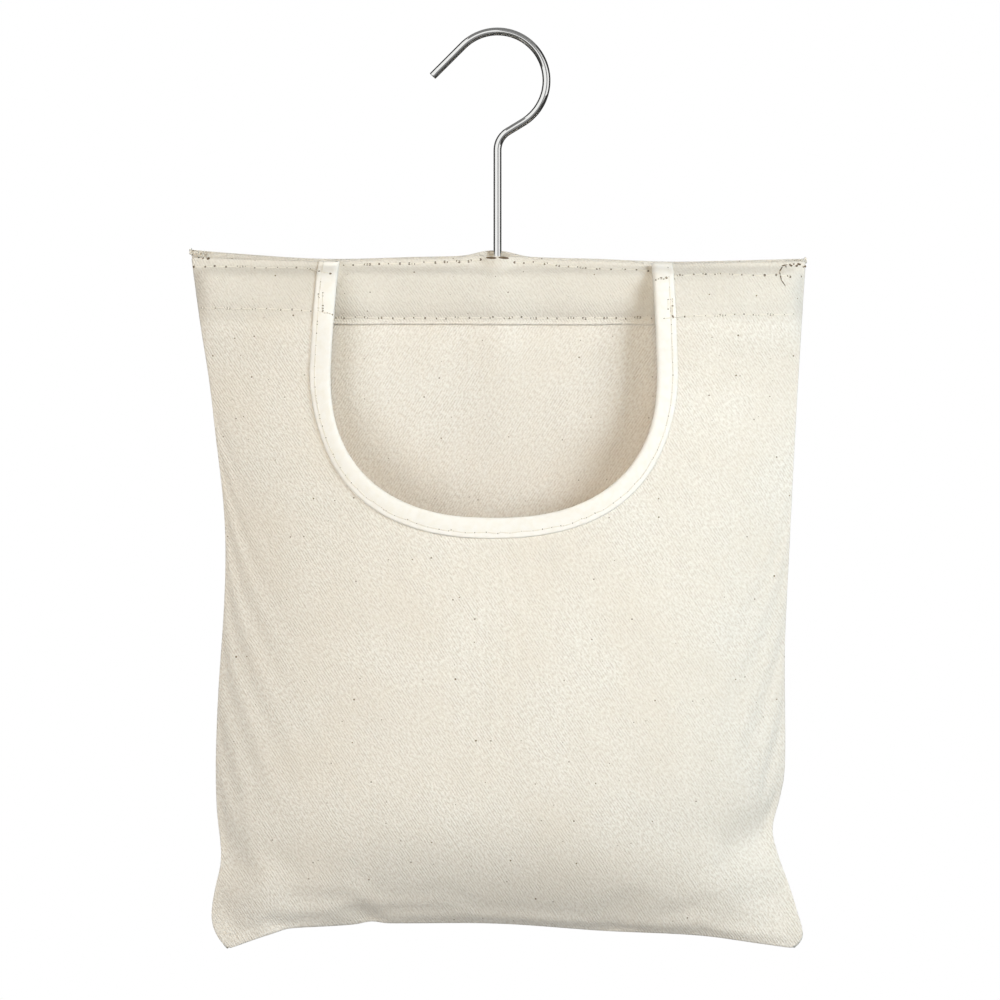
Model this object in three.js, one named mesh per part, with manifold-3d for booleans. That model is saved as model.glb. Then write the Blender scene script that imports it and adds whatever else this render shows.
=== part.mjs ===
// A peg bag: a cotton pouch with a bound mouth, hung from a wooden bar on a swivelling wire hook.
// Millimetres, +Z up, the front faces -Y. The origin is on the inside of the hook's crown,
// where the hook bears on a rail or a clothes line.

import * as THREE from 'three';
import { mergeVertices } from 'three/addons/utils/BufferGeometryUtils.js';
import Module from 'manifold-3d';

const wasm = await Module();
wasm.setup();

// Hook
const wireDiameter = 4;
const crookRadius = 24.5; // to the middle of the wire
const tipLength = 21.5;
const tipSlope = THREE.MathUtils.degToRad(45);
const neckAngle = THREE.MathUtils.degToRad(58.7); // how far the neck leans from the shank
const neckBendRadius = 11;
const hookReach = 111; // inside of the crown down to the top edge of the bag

// Swivel under the bar
const boreClearance = 0.35;
const washerRim = 1.5; // washer beyond the wire, all round
const washerThickness = 0.8;
const headRim = 1; // upset end of the shank beyond the wire, all round
const headThickness = 1.6;
const seatClearance = 0.3;
const shankClearance = 0.6; // between the shank and the parted top seam

// Wooden bar
const barHeight = 18;
const barCheek = 1.2; // wood left in front of and behind the washer's pocket
const barEdge = 3; // radius of the long edges
const barEndRoom = 11; // from the end of the bar to the side of the bag
const barClearance = 0.4; // between the bar and the cloth round it

// Cloth and thread
const clothThickness = 0.85;
const layerGap = 0.3;
const tapeThickness = 0.6;
const tapeClearance = 0.45; // between the tape and the cloth that it binds
const threadDiameter = 0.6;

// Casing at the top of the bag
const topRowDrop = 4.3; // top edge to the top row of stitches
const barHeadroom = 2.7; // top row to the bar
const casingSlack = 5.3; // bar to the lower row
const stripTurn = 3.5; // lower row to the strip's folded edge
const stripInset = 1.5; // side of the bag to the end of the strip
const slitHalf = 8; // half the gap in the top seam that lets the shank out
const tabRowLift = 3.5; // the tab's hem row above the casing's lower row
const tabTurn = 3; // hem row to the edge of the turned hem
const hemClearance = 1.5; // the tape's inner leg clears the hem this far past its edge

// Pouch
const topWidth = 308;
const waistWidth = 282;
const waistDrop = 190; // top edge to the narrowest part
const earWidth = 294; // across the bottom corners
const earHeight = 60; // the corners flare over this height
const bagHeight = 346; // top edge to the bottom corners
const bottomRise = 12.5; // the bottom seam is drawn up this much at its middle
const frontDepth = 34;
const backDepth = 20;
const bellyDrop = 257; // top edge to the fullest level
const pouchRoundness = 2.2;
const shoulderRoundness = 2.2; // of the cloth that closes round the bar
const tabEase = 40; // height over which the tabs' layers thin out to one

// Mouth
const mouthTopWidth = 158.6;
const mouthWidth = 165;
const mouthDrop = 131; // top edge to the lowest point of the mouth
const mouthRound = 74; // height of the rounded part
const mouthSquareness = 2.4;
const bindingWidth = 9;
const bindingRowInset = 6.5; // mouth edge to the row of stitches on the tape
const tapeRoom = 0.9; // between the tape and the end of a row of stitches

// Seam allowances inside the pouch
const allowanceInset = 3.5;
const allowanceWidth = 7;
const allowanceThickness = 0.8;
const allowanceStart = 20; // below the casing strip
const sideSeamStop = 21; // above the bottom corners
const bottomSeamStop = 31.5; // from the bottom corners

// Fineness of the faceted surfaces
const wireSides = 10;
const wireSteps = 60;
const swivelSides = 24;
const barEdgeSteps = 3;
const threadSides = 4;
const columnsOverSlit = 2;
const columnsOverBar = 6;
const columnsPastBar = 3;
const shoulderRows = 3;
const pouchRows = 14;
const mouthSteps = 30;

// Levels, down from the inside of the hook's crown
const topEdge = -hookReach;
const topRow = topEdge - topRowDrop;
const barTop = topRow - barHeadroom;
const barBottom = barTop - barHeight;
const lowerRow = barBottom - casingSlack;
const stripEdge = lowerRow - stripTurn;
const tabRow = lowerRow + tabRowLift;
const tabHemEdge = tabRow - tabTurn;
const cornerLevel = topEdge - bagHeight;
const bottomCentre = cornerLevel + bottomRise;
const mouthFloor = topEdge - mouthDrop;
const mouthShoulder = mouthFloor + mouthRound;

// Sizes that follow from the ones above
const wireRadius = wireDiameter / 2;
const boreRadius = wireRadius + boreClearance;
const washerRadius = wireRadius + washerRim;
const headRadius = wireRadius + headRim;
const pocketRadius = washerRadius + boreClearance;
const pocketDepth = washerThickness + headThickness + 3 * seatClearance;
const barThickness = 2 * (pocketRadius + barCheek);
const barLength = topWidth - 2 * barEndRoom;
const rimGap = layerGap / 2;
const casingRoom = barThickness / 2 + barClearance;
const slitRoom = wireRadius + shankClearance;
const tabThickness = 2 * clothThickness;
const stripStack = clothThickness + layerGap + threadDiameter;
const tabStack = stripStack + 2 * tapeClearance + tapeThickness + tabThickness;
const threadRadius = threadDiameter / 2;
const belly = (topEdge - bellyDrop - lowerRow) / (bottomCentre - lowerRow);

const clamp01 = (t) => THREE.MathUtils.clamp(t, 0, 1);
const ease = (t) => THREE.MathUtils.smoothstep(t, 0, 1);

// Materials
const steel = new THREE.MeshStandardMaterial({ color: 0xb4b4b2, roughness: 0.25, metalness: 1 });
const canvas = new THREE.MeshStandardMaterial({ color: 0xe9e2d4, roughness: 0.95 });
const tape = new THREE.MeshStandardMaterial({ color: 0xf8f6f0, roughness: 0.9 });
const thread = new THREE.MeshStandardMaterial({ color: 0xf6f3ea, roughness: 0.8 });
const beech = new THREE.MeshStandardMaterial({ color: 0xcaa778, roughness: 0.6 });

const bag = new THREE.Group();

function addPiece(name, geometry, material) {
  const mesh = new THREE.Mesh(geometry, material);
  mesh.name = name;
  bag.add(mesh);
}

// Booleans
function toSolid(geometry) {
  const bare = geometry.clone();
  bare.deleteAttribute('normal');
  bare.deleteAttribute('uv');
  const merged = mergeVertices(bare, 1e-4);
  const mesh = new wasm.Mesh({
    numProp: 3,
    vertProperties: new Float32Array(merged.attributes.position.array),
    triVerts: new Uint32Array(merged.index.array),
  });
  return new wasm.Manifold(mesh);
}

function toGeometry(solid) {
  const mesh = solid.getMesh();
  const geometry = new THREE.BufferGeometry();
  geometry.setAttribute('position', new THREE.BufferAttribute(mesh.vertProperties, 3));
  geometry.setIndex(new THREE.BufferAttribute(mesh.triVerts, 1));
  geometry.computeVertexNormals();
  return geometry;
}

// Outline of the bag
function halfWidth(z) {
  const drop = topEdge - z;
  const draw = Math.max(0, 1 - drop / waistDrop);
  const flare = clamp01((drop - bagHeight + earHeight) / earHeight);
  const taper = ((topWidth - waistWidth) / 2) * draw ** 2;
  const ear = ((earWidth - waistWidth) / 2) * Math.sin((flare * Math.PI) / 2) ** 2;
  return waistWidth / 2 + taper + ear;
}

function bottomLevel(u) {
  return bottomCentre - bottomRise * u ** 2;
}

// How far the cloth stands from the middle plane: round the bar, and over the filled pouch
function shoulder(t) {
  return 1 - clamp01(t) ** shoulderRoundness;
}

function casing(x, z) {
  const barShoulder = barLength / 2 - barEdge;
  const upper = barTop - barEdge;
  const lower = barBottom + barEdge;
  const across = shoulder((Math.abs(x) - barShoulder) / (halfWidth(z) - barShoulder));
  const above = shoulder((z - upper) / (topRow - upper));
  const below = shoulder((lower - z) / (lower - lowerRow));
  const overBar = (casingRoom - rimGap) * across * above * below;
  const overShank = z > barTop ? slitRoom * (1 - (x / slitHalf) ** 2) : 0;
  return rimGap + Math.max(overBar, overShank, 0);
}

function bulge(x, z, depth) {
  const u = Math.min(1, Math.abs(x) / halfWidth(z));
  const v = clamp01((lowerRow - z) / (lowerRow - bottomLevel(u)));
  const quarter = v < belly ? 1 - v / belly : (v - belly) / (1 - belly);
  return depth * Math.cos((quarter * Math.PI) / 2) * (1 - u ** pouchRoundness);
}

// Faces of the layers, as Y at a place in the front view
function frontOuter(x, z) {
  const layers = THREE.MathUtils.lerp(tabStack, clothThickness, ease((stripEdge - z) / tabEase));
  return -(casing(x, z) + layers + bulge(x, z, frontDepth));
}

function frontThickness(z) {
  return z >= tabHemEdge ? tabThickness : clothThickness;
}

function frontInner(x, z) {
  return frontOuter(x, z) + frontThickness(z);
}

// The inside of the tape clears the turned hem a little past its edge
function tapedInner(x, z) {
  return frontOuter(x, z) + frontThickness(z + hemClearance);
}

function backInner(x, z) {
  return casing(x, z) + bulge(x, z, backDepth);
}

function backOuter(x, z) {
  return backInner(x, z) + clothThickness;
}

function stripInner(x, z) {
  return -casing(x, z);
}

function stripOuter(x, z) {
  return stripInner(x, z) - clothThickness;
}

// A closed sheet between two faces. Rows run from top to bottom and columns from left to right;
// place(row, column) gives [x, z], and front and back give Y there.
function sheet(rows, columns, place, front, back) {
  const points = [];
  for (const face of [front, back]) {
    for (const row of rows) {
      for (const column of columns) {
        const [x, z] = place(row, column);
        points.push(x, face(x, z), z);
      }
    }
  }
  const width = columns.length;
  const layer = rows.length * width;
  const index = [];
  const quad = (a, b, c, d) => index.push(a, b, c, a, c, d);
  for (let i = 0; i < rows.length - 1; i++) {
    for (let j = 0; j < width - 1; j++) {
      const a = i * width + j;
      quad(a, a + width, a + width + 1, a + 1);
      quad(layer + a, layer + a + 1, layer + a + width + 1, layer + a + width);
    }
  }
  const bottom = layer - width;
  for (let j = 0; j < width - 1; j++) {
    quad(j, j + 1, layer + j + 1, layer + j);
    quad(bottom + j + 1, bottom + j, layer + bottom + j, layer + bottom + j + 1);
  }
  for (let i = 0; i < rows.length - 1; i++) {
    const left = i * width;
    const right = left + width - 1;
    quad(left + width, left, layer + left, layer + left + width);
    quad(right, right + width, layer + right + width, layer + right);
  }
  return facets(points, index);
}

function steps(from, to, count) {
  return Array.from({ length: count }, (_, i) => THREE.MathUtils.lerp(from, to, (i + 1) / count));
}

// Columns as shares of the half width, closer at the slit and past the ends of the bar
function clothColumns() {
  const half = topWidth / 2;
  const barShoulder = barLength / 2 - barEdge;
  const right = [
    ...steps(0, slitHalf, columnsOverSlit),
    ...steps(slitHalf, barShoulder, columnsOverBar),
    ...steps(barShoulder, half, columnsPastBar),
  ].map((x) => x / half);
  return [...right.map((u) => -u).reverse(), 0, ...right];
}

// Rows over the casing, as levels
function casingRows() {
  const upper = barTop - barEdge;
  const lower = barBottom + barEdge;
  return [
    topEdge,
    topRow,
    ...steps(topRow, upper, shoulderRows),
    lower,
    ...steps(lower, lowerRow, shoulderRows),
  ];
}

// A row of a panel: a level over the casing, then shares of the way down to the bottom seam
function panelRows(hemStep) {
  const levels = [...casingRows(), ...hemStep].sort((a, b) => b - a);
  const shares = steps(0, 1, pouchRows);
  return [...levels.map((level) => ({ level })), ...shares.map((share) => ({ share }))];
}

function panelPlace({ level, share }, u) {
  const z = level ?? THREE.MathUtils.lerp(lowerRow, bottomLevel(u), share);
  return [u * halfWidth(z), z];
}

// Half the width of the mouth at a level on its straight sides
function mouthSide(z) {
  const down = clamp01((topEdge - z) / (topEdge - mouthShoulder));
  return THREE.MathUtils.lerp(mouthTopWidth, mouthWidth, down) / 2;
}

// Mouth edge, from the top of the left tab round to the top of the right one
function mouthEdge() {
  const hemLevels = [tabHemEdge, tabHemEdge - hemClearance, tabHemEdge - hemClearance - layerGap];
  const sideLevels = [...casingRows(), ...hemLevels, stripEdge];
  const levels = sideLevels.sort((a, b) => b - a);
  const side = levels.map((z) => new THREE.Vector2(mouthSide(z), z));
  const floor = [];
  for (let i = 0; i <= mouthSteps; i++) {
    const angle = (Math.PI * i) / mouthSteps;
    const power = 2 / mouthSquareness;
    const across = -Math.sign(Math.cos(angle)) * Math.abs(Math.cos(angle)) ** power;
    const x = (mouthWidth / 2) * across;
    floor.push(new THREE.Vector2(x, mouthShoulder - mouthRound * Math.sin(angle) ** power));
  }
  const left = side.map((p) => new THREE.Vector2(-p.x, p.y));
  return [...left, ...floor, ...side.reverse()];
}

// Directions from the mouth edge into the cloth, level along the sides of the mouth
function edgeNormals(points) {
  return points.map((point, i) => {
    if (point.y >= mouthShoulder) return new THREE.Vector2(Math.sign(point.x), 0);
    const before = points[Math.max(0, i - 1)];
    const after = points[Math.min(points.length - 1, i + 1)];
    const along = after.clone().sub(before).normalize();
    return new THREE.Vector2(along.y, -along.x);
  });
}

function mouthCutter(points) {
  const above = topEdge + topRowDrop;
  const shape = new THREE.Shape();
  shape.moveTo(points[0].x, above);
  for (const point of points) shape.lineTo(point.x, point.y);
  shape.lineTo(points[points.length - 1].x, above);
  const depth = 2 * (frontDepth + casingRoom + tabStack);
  const geometry = new THREE.ExtrudeGeometry(shape, { depth, bevelEnabled: false });
  geometry.rotateX(Math.PI / 2);
  return geometry.translate(0, depth / 2, 0);
}

// A geometry from points and the triangles between them
function facets(points, index) {
  const geometry = new THREE.BufferGeometry();
  geometry.setAttribute('position', new THREE.Float32BufferAttribute(points, 3));
  geometry.setIndex(index);
  geometry.computeVertexNormals();
  return geometry;
}

// Equal sections joined into one closed body; the cap gives the triangles of an end section
function loft(sections, cap) {
  const count = sections[0].length;
  const index = [];
  for (let i = 0; i < sections.length - 1; i++) {
    for (let j = 0; j < count; j++) {
      const a = i * count + j;
      const b = i * count + ((j + 1) % count);
      index.push(a, b + count, b, a, a + count, b + count);
    }
  }
  const last = (sections.length - 1) * count;
  for (const [a, b, c] of cap) index.push(a, c, b, last + a, last + b, last + c);
  return facets(sections.flat().flatMap((p) => [p.x, p.y, p.z]), index);
}

// Thread laid along a line on a face, clear of the cloth above and below it
function threadAlong(places, face) {
  const path = places.map(([x, z]) => {
    const nearest = Math.min(face(x, z - threadRadius), face(x, z), face(x, z + threadRadius));
    return new THREE.Vector3(x, nearest - layerGap - threadRadius, z);
  });
  const section = new THREE.Shape(new THREE.EllipseCurve(0, 0, threadRadius, threadRadius)
    .getPoints(threadSides)
    .slice(0, threadSides));
  const extrudePath = new THREE.CatmullRomCurve3(path);
  return new THREE.ExtrudeGeometry(section, { steps: 2 * (path.length - 1), extrudePath });
}

function rowPlaces(from, to, z, count) {
  return [from, ...steps(from, to, count)].map((x) => [x, z]);
}

// Hook: slanted tip, crook, neck, shank and upset end
class WirePath extends THREE.Curve {
  constructor(flat) {
    super();
    this.flat = flat;
  }

  getPoint(t) {
    const point = this.flat.getPointAt(t);
    return new THREE.Vector3(point.x, 0, point.y);
  }
}

function hookLine(shankEnd) {
  const crookLevel = wireRadius - crookRadius;
  const reach = crookRadius + neckBendRadius;
  const neckStraight = (reach * Math.cos(neckAngle) - neckBendRadius) / Math.sin(neckAngle);
  const bendDrop = reach * Math.sin(neckAngle) + neckStraight * Math.cos(neckAngle);
  const bendLevel = crookLevel - bendDrop;
  const tipTurn = Math.PI - tipSlope;
  const tipRoot = new THREE.Vector2(Math.cos(tipTurn), Math.sin(tipTurn))
    .multiplyScalar(crookRadius)
    .add(new THREE.Vector2(0, crookLevel));
  const line = new THREE.Path();
  line.moveTo(tipRoot.x - tipLength * Math.cos(tipSlope), tipRoot.y - tipLength * Math.sin(tipSlope));
  line.lineTo(tipRoot.x, tipRoot.y);
  line.absarc(0, crookLevel, crookRadius, tipTurn, -neckAngle, true);
  line.absarc(neckBendRadius, bendLevel, neckBendRadius, Math.PI - neckAngle, Math.PI, false);
  line.lineTo(0, shankEnd);
  return line;
}

function ring(outer, inner, bottom, top, sides) {
  const profile = [[inner, bottom], [outer, bottom], [outer, top], [inner, top]];
  const closed = inner > 0 ? [...profile, profile[0]] : profile;
  const points = closed.map(([r, z]) => new THREE.Vector2(r, z));
  return new THREE.LatheGeometry(points, sides).rotateX(Math.PI / 2);
}

const pocketTop = barBottom + pocketDepth;
const washerTop = pocketTop - seatClearance;
const washerBottom = washerTop - washerThickness;
const headTop = washerBottom - seatClearance;
const headBottom = headTop - headThickness;

function hookGeometry() {
  const section = new THREE.Shape(new THREE.EllipseCurve(0, 0, wireRadius, wireRadius)
    .getPoints(wireSides)
    .slice(0, wireSides));
  const extrudePath = new WirePath(hookLine(headBottom + headThickness / 2));
  const wire = new THREE.ExtrudeGeometry(section, { steps: wireSteps, extrudePath });
  const head = ring(headRadius, 0, headBottom, headTop, swivelSides);
  return toGeometry(toSolid(wire).add(toSolid(head)));
}

// Bar: a slat with rounded edges, bored for the shank and pocketed for the washer
function barGeometry() {
  const halfLength = barLength / 2 - barEdge;
  const halfHeight = barHeight / 2 - barEdge;
  const outline = new THREE.Shape([
    new THREE.Vector2(-halfLength, -halfHeight),
    new THREE.Vector2(halfLength, -halfHeight),
    new THREE.Vector2(halfLength, halfHeight),
    new THREE.Vector2(-halfLength, halfHeight),
  ]);
  const slat = new THREE.ExtrudeGeometry(outline, {
    depth: barThickness - 2 * barEdge,
    bevelThickness: barEdge,
    bevelSize: barEdge,
    bevelSegments: barEdgeSteps,
  });
  slat.translate(0, 0, barEdge - barThickness / 2);
  slat.rotateX(Math.PI / 2);
  slat.translate(0, 0, (barTop + barBottom) / 2);
  const bore = ring(boreRadius, 0, barBottom - barEdge, barTop + barEdge, swivelSides);
  const pocket = ring(pocketRadius, 0, barBottom - barEdge, pocketTop, swivelSides);
  return toGeometry(toSolid(slat).subtract(toSolid(bore)).subtract(toSolid(pocket)));
}

// Tape folded over the mouth edge: a hairpin section that follows both faces of the front panel
function bindingGeometry(points) {
  const normals = edgeNormals(points);
  const outside = tapeClearance + tapeThickness;
  const half = bindingWidth / 2;
  const legs = [
    [bindingWidth, frontOuter, -outside],
    [half, frontOuter, -outside],
    [0, frontOuter, -outside],
    [-outside, frontOuter, -tapeClearance],
    [-outside, tapedInner, tapeClearance],
    [0, tapedInner, outside],
    [half, tapedInner, outside],
    [bindingWidth, tapedInner, outside],
    [bindingWidth, tapedInner, tapeClearance],
    [half, tapedInner, tapeClearance],
    [-tapeClearance, tapedInner, tapeClearance],
    [-tapeClearance, frontOuter, -tapeClearance],
    [half, frontOuter, -tapeClearance],
    [bindingWidth, frontOuter, -tapeClearance],
  ];
  const sections = points.map((point, i) => legs.map(([inward, face, offset]) => {
    const x = point.x + normals[i].x * inward;
    const z = point.y + normals[i].y * inward;
    return new THREE.Vector3(x, face(x, z) + offset, z);
  }));
  const flat = legs.map(([inward, face, offset]) => {
    const level = face === frontOuter ? 0 : tabThickness;
    return new THREE.Vector2(inward, level + offset);
  });
  return loft(sections, THREE.ShapeUtils.triangulateShape(flat, []));
}

// Assembly
addPiece('hook', hookGeometry(), steel);
addPiece('hook_washer', ring(washerRadius, boreRadius, washerBottom, washerTop, swivelSides), steel);
addPiece('hanger_bar', barGeometry(), beech);

const columns = clothColumns();
const mouth = mouthEdge();
addPiece('back_panel', sheet(panelRows([]), columns, panelPlace, backInner, backOuter), canvas);

const stripPlace = (z, u) => [u * (halfWidth(z) - stripInset), z];
const stripRows = [...casingRows(), stripEdge];
addPiece('casing_strip', sheet(stripRows, columns, stripPlace, stripOuter, stripInner), canvas);

const hemStep = [tabHemEdge, tabHemEdge - layerGap];
const wholeFront = sheet(panelRows(hemStep), columns, panelPlace, frontOuter, frontInner);
const cutFront = toSolid(wholeFront).subtract(toSolid(mouthCutter(mouth)));
addPiece('front_panel', toGeometry(cutFront), canvas);
addPiece('mouth_binding', bindingGeometry(mouth), tape);

// Overlocked seam allowances, in the middle between the two panels
const between = (x, z) => (frontInner(x, z) + backInner(x, z)) / 2;
const seamFront = (x, z) => between(x, z) - allowanceThickness / 2;
const seamBack = (x, z) => between(x, z) + allowanceThickness / 2;
const seamEnd = allowanceInset + allowanceWidth;
const sideLevels = steps(stripEdge - allowanceStart, cornerLevel + sideSeamStop, pouchRows);
const acrossSeam = [-seamEnd, -allowanceInset];
const rightSide = (z, inset) => [halfWidth(z) + inset, z];
const leftSide = (z, inset) => [-halfWidth(z) - inset, z];
const acrossLeft = [allowanceInset, seamEnd].map((inset) => -inset);
addPiece('side_seam_right', sheet(sideLevels, acrossSeam, rightSide, seamFront, seamBack), canvas);
addPiece('side_seam_left', sheet(sideLevels, acrossLeft, leftSide, seamFront, seamBack), canvas);

const bottomReach = 1 - bottomSeamStop / (earWidth / 2);
const bottomColumns = [-bottomReach, ...steps(-bottomReach, bottomReach, pouchRows)];
const bottomPlace = (inset, u) => [u * halfWidth(bottomLevel(u)), bottomLevel(u) + inset];
const bottomRows = [seamEnd, allowanceInset];
addPiece('bottom_seam', sheet(bottomRows, bottomColumns, bottomPlace, seamFront, seamBack), canvas);

// Rows of stitches on both sides of the mouth
const rowReach = barLength / 2;
const pastTape = bindingWidth + tapeRoom;
for (const [side, sign] of [['left', -1], ['right', 1]]) {
  const sideRow = (from, to, z) => rowPlaces(sign * from, sign * to, z, columnsOverBar);
  const tabTop = sideRow(mouthSide(topRow) + pastTape, rowReach, topRow);
  addPiece(`tab_top_stitching_${side}`, threadAlong(tabTop, frontOuter), thread);
  const tabHem = sideRow(mouthSide(tabRow) + pastTape, rowReach, tabRow);
  addPiece(`tab_hem_stitching_${side}`, threadAlong(tabHem, frontOuter), thread);
  const stripTop = sideRow(slitHalf + layerGap, mouthSide(topRow) - bindingWidth, topRow);
  addPiece(`casing_top_stitching_${side}`, threadAlong(stripTop, stripOuter), thread);
}
const stripHem = rowPlaces(-rowReach, rowReach, lowerRow, 2 * columnsOverBar);
addPiece('casing_hem_stitching', threadAlong(stripHem, stripOuter), thread);

const tapeFace = (x, z) => frontOuter(x, z) - tapeClearance - tapeThickness;
const mouthNormals = edgeNormals(mouth);
const tapeRow = mouth.map((point, i) => [
  point.x + mouthNormals[i].x * bindingRowInset,
  point.y + mouthNormals[i].y * bindingRowInset,
]);
addPiece('binding_stitching', threadAlong(tapeRow, tapeFace), thread);

export default bag;
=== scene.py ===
# The looks of a hanging peg bag: natural cotton twill, white bias tape and a bright wire hook,
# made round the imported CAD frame. Metres, +Z up, the mouth faces -Y.
import bisect
import math
import random

import bmesh
import bpy
from bpy.props import FloatProperty, FloatVectorProperty, PointerProperty
from bpy.types import Operator, Panel, PropertyGroup
from mathutils import Euler, Matrix, Vector, noise
from mathutils.bvhtree import BVHTree


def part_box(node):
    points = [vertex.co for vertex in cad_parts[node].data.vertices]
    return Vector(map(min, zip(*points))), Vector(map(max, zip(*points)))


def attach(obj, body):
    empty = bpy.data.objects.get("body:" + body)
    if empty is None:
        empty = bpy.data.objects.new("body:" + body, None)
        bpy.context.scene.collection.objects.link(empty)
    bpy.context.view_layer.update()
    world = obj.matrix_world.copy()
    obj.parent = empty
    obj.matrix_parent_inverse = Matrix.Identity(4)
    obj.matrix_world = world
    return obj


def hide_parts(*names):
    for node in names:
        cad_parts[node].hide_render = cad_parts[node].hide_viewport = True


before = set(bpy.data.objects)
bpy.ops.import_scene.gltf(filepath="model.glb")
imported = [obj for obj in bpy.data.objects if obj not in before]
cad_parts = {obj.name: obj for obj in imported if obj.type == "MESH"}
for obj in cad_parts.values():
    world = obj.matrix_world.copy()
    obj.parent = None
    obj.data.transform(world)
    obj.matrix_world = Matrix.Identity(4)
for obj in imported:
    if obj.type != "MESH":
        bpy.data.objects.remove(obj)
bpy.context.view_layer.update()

bl_info = {
    "name": "Peg Bag",
    "version": (1, 0, 0),
    "blender": (4, 5, 0),
    "location": "View3D > Sidebar > Peg Bag",
    "description": "Makes a hanging cotton peg bag round its packed CAD frame",
    "category": "Object",
}

MM = 0.001
PER_MM = (1 / MM, 1 / MM, 1 / MM)  # scale that turns metres on the flat cloth to millimetres

# Places taken from the frame
BAR_LOW, BAR_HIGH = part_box("hanger_bar")
BAR_MIDDLE = (BAR_LOW.z + BAR_HIGH.z) / 2
STRIP_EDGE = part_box("casing_strip")[0].z
SHANK_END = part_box("hook")[0].z


def row_level(node):
    """The level of a CAD row of stitches."""
    low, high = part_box(node)
    return (low.z + high.z) / 2


TOP_ROW = row_level("casing_top_stitching_left")
TAB_ROW = row_level("tab_hem_stitching_left")
LOWER_ROW = row_level("casing_hem_stitching")

# Outline of the hanging bag in the front view, in millimetres: x at a level for the sides, a level
# at an x for the top and the bottom. The points are the corners, hollows and puckers of the cloth.
LEFT_SIDE = [
    (-107, -153.6), (-142, -148.8), (-172, -144.3), (-202, -140.8), (-232, -137.3), (-255, -136.1),
    (-285, -136.8), (-330, -139.8), (-365, -141), (-388, -140.4), (-412, -138.2), (-427, -141.6),
    (-442, -143.7), (-450, -141.4), (-457.5, -135.8),
]
RIGHT_SIDE = [
    (-111.5, 154.2), (-142, 152.2), (-202, 148.8), (-262, 145.8), (-307, 143.8), (-367, 143.8),
    (-382, 141.2), (-397, 137.4), (-412, 141.2), (-427, 146.7), (-442, 151.2), (-449, 153.4),
    (-453.5, 152.8), (-456.5, 148.8),
]
TOP_EDGE = [
    (-153.6, -107), (-130, -109), (-86, -111.6), (-40, -110.6), (-15, -109.8), (-8, -107.8),
    (0, -107.2), (7, -108.4), (14, -110.4), (50, -111.6), (86, -113), (120, -112.4), (154.2, -111.5),
]
BOTTOM_EDGE = [
    (-135.8, -457.5), (-118.2, -450.9), (-110.5, -448.4), (-106.5, -446.7), (-83.5, -445.3),
    (-70.3, -444.3), (-62.6, -442.6), (-58.5, -443.7), (-46.8, -443.9), (-11, -443.8), (11, -444.6),
    (52, -447.6), (101, -450), (131, -454), (148.8, -456.5),
]
TAB_TOP = [
    (-153.3, -111), (-120, -112.2), (-86, -113.4), (80, -114.2), (120, -113.8), (153.8, -113),
]

# Mouth: straight sides down to a rounded floor, a little left of the middle
MOUTH_MIDDLE = -1.9 * MM
MOUTH_TOP_LEFT = -80.3 * MM
MOUTH_TOP_RIGHT = 78.3 * MM
MOUTH_HALF = 82.5 * MM
MOUTH_SHOULDER = -168 * MM
MOUTH_ROUND = 74 * MM
MOUTH_SQUARENESS = 2.4
MOUTH_SPREAD = 0.8  # how soon the straight sides spread to the full width

# How the cloth hangs and stands off its neighbours
CASING_ROOM = BAR_HIGH.y + 0.4 * MM  # from the middle plane to the cloth over the bar
BAR_EDGE = 3 * MM  # where the cloth starts to round over the bar's edges
BAR_CROWN, BAR_FOOT = 1.6, 1.3  # how it curves in above and below the bar
SLIT_HALF = 7.5 * MM  # half the width of the opening round the shank
SLIT_ROOM = 2.9 * MM  # how far the cloth parts there
# The shade beside the shank is painted: a drawn-out dark disc on each side
SLIT_LEVEL = -111.3 * MM  # level of the shade beside the shank
REST_GAP = 0.15 * MM  # between cloths that lie on each other
TAB_LAYERS = 4.2 * MM  # from the casing's face to the tab's
TAB_FIRMNESS = 0.85  # how closely the tab follows the casing over the bar
TAB_LIFT = 8.5 * MM  # how far the tabs and the mouth's sides stand off lower down
HEM_GAP = 2 * MM  # from the tab's face to its turned hem
HEM_INSET = 2.5 * MM  # how far the turned hem stops short of the side
PINCH = 2.7 * MM  # how far the row under the bar is drawn to the front
CREST_X = 1 * MM  # where the fold that the hook draws up stands
CREST_HALF = (9 * MM, 24 * MM)  # its half width, at the top and lower down
CREST_HEIGHT = (1 * MM, 2.4 * MM)  # its height there
CORNER_DROOP = 6 * MM  # how far the lower left corner hangs back
DROOP_X, DROOP_LEVEL = -110 * MM, -408 * MM  # where it starts to
FOLD_BACK, FOLD_RISE = 0.1 * MM, 0.45 * MM  # how far back and up the fold at a tab's top lies
BELLY = 0.7  # share of the height at which the pouch is fullest
UNDERSIDE = 1.6  # how roundly it turns in below that
ROUNDNESS = 2.8  # how roundly it turns in at its sides
SEAM_TUCK, SEAM_RISE = 0.998, 0.999  # shares of the width and the drop where the seams turn in
HELD_MARGIN = 1 / 36  # share of the back cloth along its seams that is held
SHAPE_HOLD = 0.3  # how firmly the cloth keeps its drawn shape while it settles
TAPE_HOLD = 0.55  # how firmly the mouth's edge keeps its shape under the tape

# Soft folds of the front cloth: from, to, half width and depth in millimetres, in the front view
FRONT_FOLDS = [
    ((-138.5, -411), (-122, -408), 9, 3),
    ((137, -398), (110, -404), 9, 3),
    ((142, -432), (122, -424), 6, 1.8),
    ((-106.5, -446.5), (-115, -440), 3, 2.4),
    ((-62.6, -442.5), (-71, -433), 3.4, 2.6),
    ((60, -446), (66, -424), 8, 1.4),
]

# A sharp crease pressed into the right tab's corner, drawn only as slivers of painted shade
CORNER_CREASE = [(144.8, -114.6), (142, -115.6), (140.6, -118.8), (141.2, -122.6), (143.2, -125.6)]

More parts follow.
